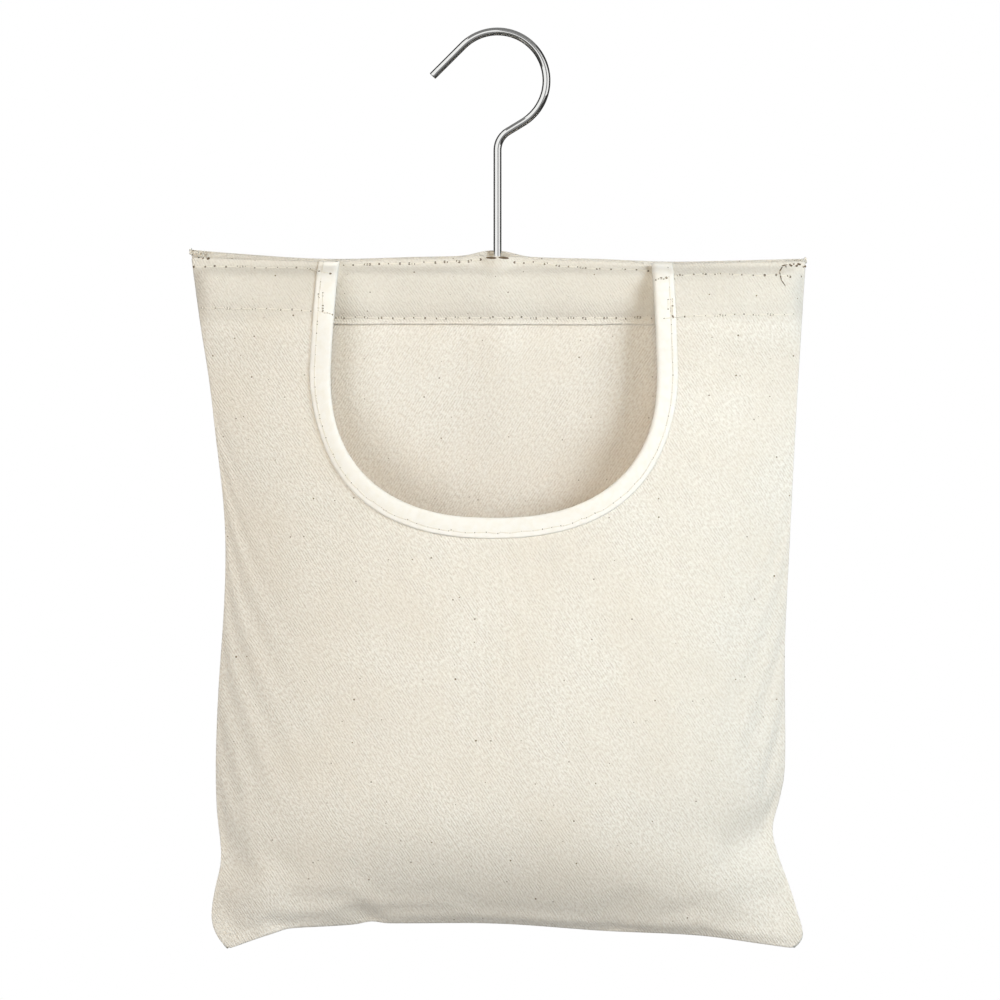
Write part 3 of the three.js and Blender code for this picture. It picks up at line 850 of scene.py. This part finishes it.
class PegBagStage(PropertyGroup):
    """Light and camera."""

    left_power: power_property("Left light", "Power of the soft light on the left", 10.6)
    front_power: power_property("Front light", "Power of the warm light over the camera", 8)
    right_power: power_property("Right light", "Power of the soft light that rakes in from the right", 18.6)
    back_power: power_property("Back light", "Power of the light behind the bag", 45)
    lamp_distance: length_property("Lamp distance", "From the lamps in front to the bag", 1.6)
    cool_light: tint_property("Cool light", "Colour of the right light", (0.86, 0.945, 1))
    warm_light: tint_property(
        "Warm light", "Colour of the front light and the light from all round", (1, 0.81, 0.53))
    ambient: FloatProperty(
        name="Ambient", description="Strength of the even light from all round", default=0.02)
    camera_distance: length_property("Camera distance", "From the camera to the bag", 2.4)
    picture_width: length_property("Picture width", "What the camera sees across, at the bag", 0.5)
    camera_side: length_property("Camera side", "How far right of the hook the camera stands", 1.25 * MM)
    camera_level: length_property("Camera level", "Level of the camera", -232.25 * MM)


class PEGBAG_OT_stage(Operator):
    """Adds the camera, the soft studio light, the white surroundings and the pale floor"""

    bl_idname = "pegbag.stage"
    bl_label = "Studio"

    def execute(self, context):
        scene = context.scene
        stage = scene.peg_bag_stage
        scene.view_settings.view_transform = "Standard"
        self.add_camera(scene, stage)
        self.add_lights(scene, stage)
        self.add_surroundings(scene, stage)
        self.add_floor(scene)
        self.add_flags(scene)
        return {"FINISHED"}

    def add_camera(self, scene, stage):
        """A level camera straight in front."""
        camera = bpy.data.objects.new("camera", bpy.data.cameras.new("camera"))
        camera.location = (stage.camera_side, -stage.camera_distance, stage.camera_level)
        camera.rotation_euler = (math.pi / 2, 0, 0)
        camera.data.sensor_width = 36
        camera.data.lens = camera.data.sensor_width * stage.camera_distance / stage.picture_width
        scene.collection.objects.link(camera)
        scene.camera = camera

    def add_lights(self, scene, stage):
        """Soft lamps round the bag, each by its bearing from the camera's side and its height."""
        target = Vector((0, 0, -0.28))
        near, white = stage.lamp_distance, (1, 1, 1)
        for name, bearing, rise, distance, size, power, colour in (
            ("left light", -40, 0, near, 1.1, stage.left_power, white),
            ("front light", 0, 25, near, 0.8, stage.front_power, stage.warm_light),
            ("right light", 52, 22, near, 0.8, stage.right_power, stage.cool_light),
            ("back light", 205, 25, 2.3, 1.6, stage.back_power, white),
        ):
            light = bpy.data.lights.new(name, "AREA")
            light.shape = "DISK"
            light.size = size
            light.energy = power
            light.color = colour
            lamp = bpy.data.objects.new(name, light)
            turn = Euler((-math.radians(rise), 0, math.radians(bearing)))
            lamp.location = target + turn.to_matrix() @ Vector((0, -distance, 0))
            lamp.visible_camera = lamp.visible_glossy = False
            lamp.rotation_euler = (target - lamp.location).to_track_quat("-Z", "Y").to_euler()
            scene.collection.objects.link(lamp)

    def add_surroundings(self, scene, stage):
        """White where the camera, a shine or clear glass sees them, an even soft light elsewhere."""
        world = bpy.data.worlds.new("studio")
        world.use_nodes = True
        tree = world.node_tree
        tree.nodes.clear()
        path = add_node(tree, "LightPath").outputs
        shine = add_node(tree, "Math", {
            0: path["Is Camera Ray"], 1: path["Is Glossy Ray"],
        }, operation="MAXIMUM")
        seen = add_node(tree, "Math", {
            0: shine, 1: path["Is Transmission Ray"],
        }, operation="MAXIMUM")
        way = add_node(tree, "TexCoord").outputs["Generated"]
        height = add_node(tree, "SeparateXYZ", {"Vector": way}).outputs["Z"]
        soft = add_node(tree, "MapRange", {
            "Value": height, "From Min": -1, "To Min": 0.3 * stage.ambient, "To Max": stage.ambient,
        })
        strength = add_node(tree, "MapRange", {"Value": seen, "To Min": soft, "To Max": 1})
        colour = add_node(tree, "MixRGB", {
            "Fac": seen, "Color1": opaque(stage.warm_light), "Color2": opaque((1, 1, 1)),
        })
        light = add_node(tree, "Background", {"Color": colour, "Strength": strength})
        add_node(tree, "OutputWorld", {"Surface": light})
        scene.world = world

    def add_floor(self, scene):
        half, level = 6, -1.2
        bm = bmesh.new()
        bmesh.ops.create_grid(bm, x_segments=2, y_segments=2, size=half)
        bmesh.ops.translate(bm, verts=bm.verts[:], vec=(0, 0, level))
        paint = make_material("pale studio floor", self.floor_paint, scene.peg_bag_colours)
        self.add_prop(scene, "floor", bm, paint)

    def floor_paint(self, tree, colours):
        """Matt paint that keeps the shadow and is pale to the camera."""
        place = add_node(tree, "TexCoord").outputs["Object"]
        grit = add_node(tree, "TexNoise", {"Vector": place, "Scale": 1 / (2.5 * MM)})
        relief = add_node(tree, "Bump", {"Strength": 0.05, "Distance": 0.2 * MM, "Height": grit})
        surface = add_node(tree, "BsdfPrincipled", {
            "Base Color": opaque(colours.floor), "Roughness": 0.9, "Normal": relief,
        })
        path = add_node(tree, "LightPath").outputs
        glow = add_node(tree, "Math", {0: path["Is Camera Ray"], 1: 0.6}, operation="MULTIPLY")
        white = add_node(tree, "Emission", {"Strength": glow})
        return add_node(tree, "AddShader", {0: surface, 1: white})

    def add_flags(self, scene):
        """Cards that only a shine sees, which glow at set tones and are not lit: a painted reflection on
        the wire. Dark ones at the sides and below edge the wire, grey ones above and in front on the right
        leave its left half bright."""
        upright = Matrix.Rotation(math.pi / 2, 4, "Y")
        level = Matrix.Identity(4)
        facing = Matrix.Rotation(math.pi / 2, 4, "X")
        for name, code, turn, half_width, half_height, place in (
            ("left flag", "#3A3A3A", upright, 2, 2, (-0.6, 1.85, 0)),
            ("right flag", "#343434", upright, 2, 2, (0.6, 1.85, 0)),
            ("lower flag", "#3A3A3A", level, 2, 2, (1.6, 1.35, -0.7)),
            ("upper card", "#808080", level, 2, 2, (1.6, 1.2, 0.6)),
            ("grey card", "#8A8A8C", facing, 0.36, 0.9, (0.38, -1.3, 0)),
        ):
            bm = bmesh.new()
            stand = Matrix.Translation(place) @ turn @ Matrix.Diagonal((half_width, half_height, 1, 1))
            bmesh.ops.create_grid(bm, x_segments=1, y_segments=1, size=1, matrix=stand)
            flag = self.add_prop(scene, name, bm, make_material(f"{name} paper", self.reflection_glow, code))
            flag.visible_camera = flag.visible_diffuse = flag.visible_shadow = False

    # Painted reflection: a card that glows at its tone, seen only in the wire's shine
    def reflection_glow(self, tree, code):
        return add_node(tree, "Emission", {"Color": opaque(linear(code))})

    def add_prop(self, scene, name, bm, material):
        """Links a mesh that belongs to the studio and not to the bag."""
        mesh = bpy.data.meshes.new(name)
        bm.to_mesh(mesh)
        bm.free()
        mesh.materials.append(material)
        prop = bpy.data.objects.new(name, mesh)
        scene.collection.objects.link(prop)
        return prop


class PEGBAG_OT_hook(Operator):
    """Bends the hook from smooth round wire, and finishes its washer in the same steel"""

    bl_idname = "pegbag.hook"
    bl_label = "Hook"

    def execute(self, context):
        sizes = context.scene.peg_bag_sizes
        [steel] = finishes(context.scene, "bright drawn steel")
        bm = bmesh.new()
        radius = sizes.wire_diameter / 2
        crook = Vector((0, 0, radius - sizes.crook_radius))
        slope = Vector((math.cos(sizes.tip_slope), 0, math.sin(sizes.tip_slope)))
        root = crook + sizes.crook_radius * Vector((-slope.z, 0, slope.x))
        facing = slope.to_track_quat("Z", "Y").to_matrix().to_4x4()
        ring = bmesh.ops.create_circle(
            bm, segments=WIRE_SIDES, radius=radius,
            matrix=Matrix.Translation(root - slope * sizes.tip_length) @ facing)["verts"]
        edges = list({edge for vert in ring for edge in vert.link_edges})
        tip = edges
        edges = self.pull(bm, edges, slope * sizes.tip_length)
        turn = math.pi / 2 + sizes.tip_slope + sizes.neck_angle
        edges = self.bend(bm, edges, crook, turn, CROOK_STEPS)
        reach = sizes.crook_radius + sizes.neck_bend_radius
        sine, cosine = math.sin(sizes.neck_angle), math.cos(sizes.neck_angle)
        straight = (reach * cosine - sizes.neck_bend_radius) / sine
        edges = self.pull(bm, edges, Vector((-sine, 0, -cosine)) * straight)
        bend_level = crook.z - reach * sine - straight * cosine
        pivot = Vector((sizes.neck_bend_radius, 0, bend_level))
        edges = self.bend(bm, edges, pivot, -sizes.neck_angle, NECK_STEPS)
        head_thickness, head_rim = 1.6 * MM, 1 * MM
        edges = self.pull(bm, edges, Vector((0, 0, SHANK_END + head_thickness - bend_level)))
        edges = self.flare(bm, edges, 1 + head_rim / radius)
        edges = self.pull(bm, edges, Vector((0, 0, -head_thickness)))
        for rim in (tip, edges):
            bmesh.ops.edgeloop_fill(bm, edges=rim)
            bmesh.ops.bevel(
                bm, geom=rim, offset=0.35 * MM, offset_type="OFFSET", segments=3, profile=0.5,
                affect="EDGES", material=-1)
        bmesh.ops.recalc_face_normals(bm, faces=bm.faces[:])
        make_piece("hook_wire", bm, [steel], "hook", body="hook")
        refinish("hook_washer", steel)
        return {"FINISHED"}

    def pull(self, bm, edges, along):
        """Draws the wire's end straight on in short lengths and returns the new end."""
        count = max(round(along.length / WIRE_STEP), 1)
        for _ in range(count):
            made = bmesh.ops.extrude_edge_only(bm, edges=edges)["geom"]
            verts = [g for g in made if isinstance(g, bmesh.types.BMVert)]
            bmesh.ops.translate(bm, verts=verts, vec=along / count)
            edges = [g for g in made if isinstance(g, bmesh.types.BMEdge)]
        return edges

    def flare(self, bm, edges, factor):
        """Widens the wire's end to the rim of its upset head and returns the new end."""
        made = bmesh.ops.extrude_edge_only(bm, edges=edges)["geom"]
        verts = [g for g in made if isinstance(g, bmesh.types.BMVert)]
        centre = sum((vert.co for vert in verts), Vector()) / len(verts)
        bmesh.ops.scale(
            bm, verts=verts, vec=(factor, factor, 1), space=Matrix.Translation(-centre))
        return [g for g in made if isinstance(g, bmesh.types.BMEdge)]

    def bend(self, bm, edges, pivot, angle, count):
        """Bends the wire on round a pivot and returns the new end."""
        made = bmesh.ops.spin(
            bm, geom=edges, cent=pivot, axis=(0, 1, 0), angle=angle, steps=count)["geom_last"]
        return [g for g in made if isinstance(g, bmesh.types.BMEdge)]


class PEGBAG_OT_bar(Operator):
    """Finishes the wooden bar that carries the bag inside its casing"""

    bl_idname = "pegbag.bar"
    bl_label = "Wooden bar"

    def execute(self, context):
        [beech] = finishes(context.scene, "sanded beech")
        refinish("hanger_bar", beech)
        return {"FINISHED"}


class PEGBAG_OT_back_panel(Operator):
    """Hangs the back cloth, with its turned top edge, behind the bar"""

    bl_idname = "pegbag.back_panel"
    bl_label = "Back panel"

    # Rows of the edge that is turned in at the top: how far behind the face and above the edge each
    # one lies, in millimetres
    TURNED_EDGE = [(-0.6, -2.6), (-0.65, -0.7), (-0.2, 0.1)]

    def execute(self, context):
        scene = context.scene
        sizes = scene.peg_bag_sizes
        height = (TOP_EDGE[0][1] - BOTTOM_EDGE[0][1]) * MM
        casing_rows = round((CASING_TOP - STRIP_EDGE) / CASING_STEP) + 2
        casing_share = casing_rows * CASING_STEP / height
        shares = [casing_share * t for t in steps(casing_rows)]
        shares += [mix(casing_share, 1, t) for t in steps(BACK_ROWS)[1:]]
        rows = [(0, back, up) for back, up in self.TURNED_EDGE] + [(v, 0, 0) for v in shares]
        points, held = [], []
        for v, back, up in rows:
            row, row_held = [], []
            for u in steps(BACK_COLUMNS):
                x, z = patch_place(u, v)
                row.append(Vector((x, back_y(x, z, sizes) + back * MM, z + up * MM)))
                inside = smooth(min(u, 1 - u, 1 - v) / HELD_MARGIN)
                free = smooth((STRIP_EDGE - z) / (25 * MM)) * inside
                row_held.append(max(1 - free, SHAPE_HOLD))
            seams = [Vector((p.x * SEAM_TUCK, REST_GAP, p.z)) for p in (row[0], row[-1])]
            for seam in seams:
                seam.y += droop(seam.x, seam.z)
            points.append([seams[0], *row, seams[1]])
            held += [1, *row_held, 1]
        points.append([
            Vector((p.x * SEAM_TUCK, REST_GAP + droop(p.x, p.z), p.z * SEAM_RISE)) for p in points[-1]])
        held += [1] * len(points[-1])
        flat = [[(-p.x, p.z) for p in row] for row in points]
        bm = sheet_mesh(points, flat, Vector((0, 1, 0)))
        twill = finishes(scene, "natural cotton twill")
        cloth = make_piece("back_panel_cloth", bm, twill, "back_panel")
        settle(cloth, held, sizes.slack)
        thicken(cloth, sizes.cloth_thickness)
        return {"FINISHED"}


class PEGBAG_OT_casing_strip(Operator):
    """Lays the casing strip over the bar, with its lower edge folded under"""

    bl_idname = "pegbag.casing_strip"
    bl_label = "Casing strip"

    # Rows of the lower edge that is folded under: share of the way down, and how far behind the face
    # and above the edge each one lies, in millimetres
    FOLDED_EDGE = [(1, 0.2, -0.15), (1, 0.4, 0.15), (1, 0.48, 2.5), (1, 0.48, 5)]
    FACE_SHARE = 0.9  # share of the strip's thickness that is made, so that it stays off the bar

    def execute(self, context):
        scene = context.scene
        sizes = scene.peg_bag_sizes
        inset, top_drop = 1.5 * MM, 1.1 * MM
        rows = [(t, 0, 0) for t in steps(STRIP_ROWS)]
        points, flat = [], []
        for t, back, up in rows + self.FOLDED_EDGE:
            row = []
            for u in steps(STRIP_COLUMNS):
                level = mix(TOP_ROW, STRIP_EDGE, t)
                x = mix(left_side(level) + inset, right_side(level) - inset, u)
                slit = 2.2 * MM * smooth(1.4 - abs(x) / SLIT_HALF)
                top = top_edge(x) - top_drop - slit
                edge = STRIP_EDGE + 0.5 * MM * ripple(x, 0, 30 * MM, 2.4)
                z = mix(top, edge, t)
                row.append(Vector((x, strip_y(x, z, sizes) + back * MM, z + up * MM)))
            before = zip(points[-1], flat[-1]) if points else ((p, (p.x, p.z)) for p in row)
            flat.append([(p.x, place[1] - (p - last).length) for p, (last, place) in zip(row, before)])
            points.append(row)
        bm = sheet_mesh(points, flat, Vector((0, -1, 0)))
        twill = finishes(scene, "natural cotton twill")
        strip = make_piece("casing_strip_cloth", bm, twill, "casing_strip")
        thicken(strip, sizes.strip_thickness * self.FACE_SHARE)
        return {"FINISHED"}


class PEGBAG_OT_front_panel(Operator):
    """Hangs the front cloth from its two tabs, with the mouth cut out, and lets it fill"""

    bl_idname = "pegbag.front_panel"
    bl_label = "Front panel"

    def execute(self, context):
        scene = context.scene
        sizes = scene.peg_bag_sizes
        points, flat, held = front_panel_points(sizes)
        bm = sheet_mesh(points, flat, Vector((0, -1, 0)))
        faces = finishes(scene, "natural cotton twill", "raw inner twill")
        cloth = make_piece("front_panel_cloth", bm, faces, "front_panel")
        settle(cloth, held, sizes.slack)
        thicken(cloth, sizes.cloth_thickness)
        return {"FINISHED"}


class PEGBAG_OT_mouth_binding(Operator):
    """Folds the white tape over the raw edge of the mouth"""

    bl_idname = "pegbag.mouth_binding"
    bl_label = "Mouth binding"

    # Section of the folded tape round the cloth's edge: share of the tape's width into the cloth,
    # and height over the cloth's face in millimetres
    SECTION = [
        (1.0, 0.35), (0.98, 0.75), (0.92, 0.95), (0.8, 1.02), (0.73, 0.97), (0.65, 1.05), (0.5, 1.12),
        (0.25, 1.2), (0.05, 1.12), (-0.07, 0.8), (-0.14, 0.15), (-0.15, -0.45), (-0.14, -1.05),
        (-0.07, -1.7), (0.05, -2.0), (0.4, -2.05), (0.85, -1.95), (0.93, -1.6), (0.93, -1.15),
        (0.85, -1.0), (0.4, -1.0), (0.03, -1.0), (-0.03, -0.43), (0.03, 0.12), (0.4, 0.12),
        (0.9, 0.12),
    ]
    INNER_HALF = -0.7  # height below which the tape lies inside, and on a tab behind its turned hem

    def execute(self, context):
        scene = context.scene
        sizes = scene.peg_bag_sizes
        cloth = bpy.data.objects["front_panel_cloth"].data
        columns = RINGS + 2
        lines = len(cloth.vertices) // columns
        hem_rows = (lines - len(front_lines())) // 2
        rings = []
        for number in range(hem_rows, lines - hem_rows):
            rings.append([cloth.vertices[number * columns + ring].co for ring in range(TAPE_RINGS + 2)])
        points, flat, run = [], [], 0
        for i, ring in enumerate(rings):
            before, after = rings[max(i - 1, 0)], rings[min(i + 1, len(rings) - 1)]
            run += (ring[0] - before[0]).length
            row = []
            for share, height in self.SECTION:
                place = self.along_ring(ring, share)
                inward = self.along_ring(ring, share + 0.1) - self.along_ring(ring, share - 0.1)
                onward = self.along_ring(after, share) - self.along_ring(before, share)
                normal = inward.cross(onward).normalized()
                if normal.y > 0:
                    normal.negate()
                hem = HEM_GAP * smooth((place.z - STRIP_EDGE) / (8 * MM) + 0.5)
                rise = height * MM - (hem if height < self.INNER_HALF else 0)
                row.append(place + normal * rise)
            points.append(row)
            flat.append([(run, share * sizes.tape_width) for share, _ in self.SECTION])
        points = [row + row[:1] for row in points]
        flat = [row + row[:1] for row in flat]
        bm = sheet_mesh(points, flat, Vector((0, -1, 0)))
        bmesh.ops.remove_doubles(bm, verts=bm.verts[:], dist=0.01 * MM)
        bmesh.ops.holes_fill(bm, edges=[edge for edge in bm.edges if edge.is_boundary])
        bmesh.ops.recalc_face_normals(bm, faces=bm.faces[:])
        white = finishes(scene, "white bias tape")
        tape = make_piece("mouth_binding_tape", bm, white, "mouth_binding")
        return {"FINISHED"}

    def along_ring(self, ring, share):
        """A point of the cloth by its share of the tape's width from the mouth edge."""
        place = share * TAPE_RINGS
        i = min(max(math.floor(place), 0), TAPE_RINGS)
        return ring[i].lerp(ring[i + 1], place - i) if i < len(ring) - 1 else ring[-1]


class PEGBAG_OT_seams(Operator):
    """Sews the overlocked seam allowances inside the pouch"""

    bl_idname = "pegbag.seams"
    bl_label = "Inner seams"

    def execute(self, context):
        scene = context.scene
        sizes = scene.peg_bag_sizes
        materials = finishes(scene, "cotton sewing thread", "natural cotton twill")
        near, far = 4.5 * MM, 11 * MM
        start, stop = STRIP_EDGE - 20 * MM, -436 * MM
        levels = [mix(start, stop, t) for t in steps(SEAM_STEPS)]
        for side, edge, sign in (("left", left_side, 1), ("right", right_side, -1)):
            run = [(edge(z) + sign * near, edge(z) + sign * far, z, z) for z in levels]
            self.sew(f"side_seam_{side}", run, sizes, materials)
        reach = 115 * MM
        places = [mix(-reach, reach, t) for t in steps(SEAM_STEPS)]
        run = [(x, x, bottom_edge(x) + near, bottom_edge(x) + far) for x in places]
        self.sew("bottom_seam", run, sizes, materials)
        return {"FINISHED"}

    def sew(self, node, run, sizes, materials):
        """One allowance: a strip of two layers and overlock stitches over its free edge."""
        points = []
        for x_near, x_far, z_near, z_far in run:
            row = []
            for t in steps(4):
                x, z = mix(x_near, x_far, t), mix(z_near, z_far, t)
                front = front_y(x, z, sizes) + sizes.cloth_thickness
                back = back_y(x, z, sizes) - sizes.cloth_thickness
                row.append(Vector((x, (front + back) / 2, z)))
            points.append(row)
        flat = [[(p.x, p.z) for p in row] for row in points]
        bm = sheet_mesh(points, flat, Vector((0, -1, 0)))
        thickness = 0.8 * MM
        bmesh.ops.solidify(bm, geom=bm.faces[:], thickness=thickness)
        for face in bm.faces:
            face.material_index = 1
        front, radius = Vector((0, -1, 0)), sizes.thread_diameter / 2
        for row, after in zip(points, points[1:]):
            lay_stitch(bm, row[2], after[-1], front, radius, 0)
            lay_stitch(bm, after[2], row[-1], -front, radius, thickness)
        make_piece(node + "_overlock", bm, materials, node)


def lay_stitch(bm, start, end, normal, radius, lift):
    """A stitch as a grain of thread that lies on the cloth and dips in at both ends."""
    along = end - start
    half = along.length / 2
    along.normalize()
    normal = (normal - along * normal.dot(along)).normalized()
    side = normal.cross(along)
    place = Matrix((side * radius, normal * radius * 0.8, along * half)).transposed().to_4x4()
    place.translation = (start + end) / 2 + normal * lift
    bmesh.ops.create_uvsphere(bm, u_segments=8, v_segments=6, radius=1, matrix=place)


def paint_shade_disc(bm, point, normal, radius, stretch=1, lean=0):
    """Painted shade of a hole in the cloth: a small dark disc on its face, which may be drawn out along a
    lean.
    """
    facing = normal.to_track_quat("Z", "Y").to_matrix().to_4x4()
    drawn_out = Matrix.Rotation(lean, 4, "Z") @ Matrix.Diagonal((stretch, 1, 1, 1))
    place = Matrix.Translation(point + normal * 0.08 * MM) @ facing @ drawn_out
    disc = bmesh.ops.create_circle(bm, cap_ends=True, segments=8, radius=radius, matrix=place)
    for vert in disc["verts"]:
        for face in vert.link_faces:
            face.material_index = 1


class PEGBAG_OT_stitching(Operator):
    """Sews the rows of stitches on the tabs, the casing and the tape"""

    bl_idname = "pegbag.stitching"
    bl_label = "Stitching"

    def execute(self, context):
        scene = context.scene
        sizes = scene.peg_bag_sizes
        depsgraph = context.evaluated_depsgraph_get()
        front, strip, tape, back = [
            BVHTree.FromObject(bpy.data.objects[name], depsgraph)
            for name in (
                "front_panel_cloth", "casing_strip_cloth", "mouth_binding_tape", "back_panel_cloth")
        ]
        tab = [tape, front]
        chance = random.Random(7)
        for side, sign, inner, lower in (
            ("left", -1, MOUTH_TOP_LEFT, 0), ("right", 1, MOUTH_TOP_RIGHT, RIGHT_ROW_DROP),
        ):
            outer = sign * ROW_END
            past_tape = inner + sign * sizes.tape_width
            top_row, hem_row = TOP_ROW - lower, TAB_ROW - lower
            top = [
                (outer, tab_top(outer) - 4.6 * MM - lower),
                (past_tape + sign * 8 * MM, top_row - 1.2 * MM),
                (past_tape, top_row - 3 * MM),
                (inner, top_row - 4.5 * MM),
            ]
            self.sew_row(
                scene, f"tab_top_stitching_{side}", [top], [*tab, back], chance, hole=0.62 * MM,
                singles=self.corner_stitches(sign, chance),
                painted_slivers=self.painted_crease_shade(front) if sign > 0 else (), behind=back)
            hem = [
                (outer - sign * 4 * MM, hem_row + 1.5 * MM),
                (past_tape, hem_row - 0.5 * MM),
                (inner, hem_row - 2.5 * MM),
            ]
            tacks = [
                [(past_tape - sign * inset * MM, hem_row + rise * MM) for rise in (8, -1)]
                for inset in (0.4, 2.6)
            ]
            self.sew_row(
                scene, f"tab_hem_stitching_{side}", [hem, *tacks], tab, chance, hole=0.42 * MM)
            casing_row = [
                (sign * x * MM, top_edge(sign * x * MM) - drop * MM - share * lower)
                for x, drop, share in ((8.5, 4.4, 0), (20, 3, 0), (45, 3.3, 0.5), (79, 3.7, 0.5))
            ]
            # The slit round the shank: painted shade, as a drawn-out dark disc on each side
            self.sew_row(
                scene, f"casing_top_stitching_{side}", [casing_row], [strip], chance, hole=0.6 * MM,
                painted_slivers=[((sign * 3.1 * MM, SLIT_LEVEL), -0.06, 0.62 * MM, 4.6, strip)], behind=back)
        casing_hem = [(-143 * MM, LOWER_ROW), (143 * MM, LOWER_ROW)]
        self.sew_row(
            scene, "casing_hem_stitching", [casing_hem], [strip], chance, hole=0.55 * MM, behind=back)
        self.sew_row(
            scene, "binding_stitching", [self.tape_row(sizes)], [tape], chance, hole=0.27 * MM)
        return {"FINISHED"}

    def corner_stitches(self, sign, chance):
        """Close, uneven overcast stitches at a top corner, each from the edge down to the tab."""
        corner = (TOP_EDGE[0][0] if sign < 0 else TOP_EDGE[-1][0]) * MM
        stitches = []
        for number in range(CORNER_STITCHES):
            inset = number * CORNER_PITCH + (0.7 + chance.uniform(-0.3, 0.3)) * MM
            x = corner - sign * inset
            top = top_edge(x) - chance.uniform(0.3, 0.9) * MM
            lean, drop = chance.uniform(-1.8, 0.6) * MM, chance.uniform(2.2, 4.2) * MM
            stitches.append(((x, top), (x + sign * lean, top - drop)))
        return stitches

    def painted_crease_shade(self, surface):
        """Painted shade in the sharp crease of the right tab's corner, as dark slivers end to end."""
        slivers = []
        points = [Vector(point) * MM for point in CORNER_CREASE]
        for number, (start, end) in enumerate(zip(points, points[1:])):
            along, radius = end - start, (0.44 - 0.06 * number) * MM
            lean, stretch = math.atan2(along.y, along.x), 0.62 * along.length / radius
            slivers.append((tuple((start + end) / 2), lean, radius, stretch, surface))
        return slivers

    def tape_row(self, sizes):
        """The row along the tape, 2.5 mm inside its outer edge."""
        inset = sizes.tape_width - 2.5 * MM
        return [start.lerp(end, inset / (end - start).length) for start, end in front_lines()]

    def sew_row(self, scene, node, lines, surfaces, chance, hole, singles=(), painted_slivers=(), behind=None):
        """Rows of stitches along lines, single stitches between two places and slivers of painted shade
        in slits and creases, as one piece. Where a row goes through to the back, its under thread shows
        there."""
        sizes = scene.peg_bag_sizes
        bm = bmesh.new()
        for line in lines:
            self.sew_line(bm, sizes, line, surfaces, chance, hole)
        if behind:
            self.sew_line(bm, sizes, lines[0], [behind], random.Random(5), 0.7 * hole, way=-1)
        for start, end in singles:
            top, foot = self.on_cloth(surfaces, *start), self.on_cloth(surfaces, *end)
            if top and foot:
                lay_stitch(bm, top[0], foot[0], foot[1], sizes.thread_diameter / 2, 0.15 * MM)
                # A disc of painted shade for the needle hole at the stitch's foot
                paint_shade_disc(bm, *foot, hole * chance.uniform(0.5, 1))
        # Slivers of painted shade, in slits and a crease
        for (x, z), lean, radius, stretch, surface in painted_slivers:
            paint_shade_disc(bm, *self.on_cloth([surface], x, z), radius, stretch, lean)
        materials = finishes(scene, "cotton sewing thread", "painted shade in holes and creases")
        make_piece(node + "_thread", bm, materials, node)

    def sew_line(self, bm, sizes, line, surfaces, chance, hole, way=1):
        """Stitches end to end along a line, with a disc of painted shade for the needle hole at each end.
        """
        places = self.needle_places(line, sizes.stitch_pitch, chance)
        found = [self.on_cloth(surfaces, x, z, way) for x, z in places]
        holes = [hit for hit in found if hit]
        for (start, normal), (end, _) in zip(holes, holes[1:]):
            lay_stitch(bm, start, end, normal, sizes.thread_diameter / 2, 0.1 * MM)
        # A disc of painted shade in each needle hole
        for point, normal in holes:
            paint_shade_disc(bm, point, normal, hole * chance.uniform(0.55, 1.2))

    def needle_places(self, line, pitch, chance):
        """Places a stitch apart along a line, a little uneven as hand-guided cloth gives them."""
        places, walked, due = [], 0.0, 0.0
        for a, b in zip(line, line[1:]):
            start, end = Vector(a), Vector(b)
            length = (end - start).length
            while due <= walked + length:
                x, z = start.lerp(end, (due - walked) / length)
                places.append((x, z + chance.uniform(-0.4, 0.4) * MM))
                due += pitch * chance.choice((0.25, 0.9, 1.1))
            walked += length
        return places

    def on_cloth(self, surfaces, x, z, way=1):
        """The nearest face at a place, seen from the front or, with way -1, from behind, and its
        normal."""
        best = None
        for surface in surfaces:
            eye, ahead = Vector((x, -0.2 * way, z)), Vector((0, way, 0))
            point, normal, _, _ = surface.ray_cast(eye, ahead)
            if point and (best is None or point.y * way < best[0].y * way):
                best = (point, normal)
        return best


class PEGBAG_PT_sidebar(Panel):
    """Lists the steps that make the bag"""

    bl_idname = "PEGBAG_PT_sidebar"
    bl_label = "Peg Bag"
    bl_space_type = "VIEW_3D"
    bl_region_type = "UI"
    bl_category = "Peg Bag"

    def draw(self, context):
        for step in STEPS:
            self.layout.operator(step.bl_idname)


STEPS = (
    PEGBAG_OT_stage,
    PEGBAG_OT_hook,
    PEGBAG_OT_bar,
    PEGBAG_OT_back_panel,
    PEGBAG_OT_casing_strip,
    PEGBAG_OT_front_panel,
    PEGBAG_OT_mouth_binding,
    PEGBAG_OT_seams,
    PEGBAG_OT_stitching,
)
GROUPS = (PegBagSizes, PegBagColours, PegBagStage)


def register():
    for kind in (*GROUPS, *STEPS, PEGBAG_PT_sidebar):
        bpy.utils.register_class(kind)
    bpy.types.Scene.peg_bag_sizes = PointerProperty(type=PegBagSizes)
    bpy.types.Scene.peg_bag_colours = PointerProperty(type=PegBagColours)
    bpy.types.Scene.peg_bag_stage = PointerProperty(type=PegBagStage)


def unregister():
    del bpy.types.Scene.peg_bag_stage
    del bpy.types.Scene.peg_bag_colours
    del bpy.types.Scene.peg_bag_sizes
    for kind in reversed((*GROUPS, *STEPS, PEGBAG_PT_sidebar)):
        bpy.utils.unregister_class(kind)


def main():
    register()
    for step in STEPS:
        group, name = step.bl_idname.split(".")
        getattr(getattr(bpy.ops, group), name)()


if __name__ == "__main__":
    main()
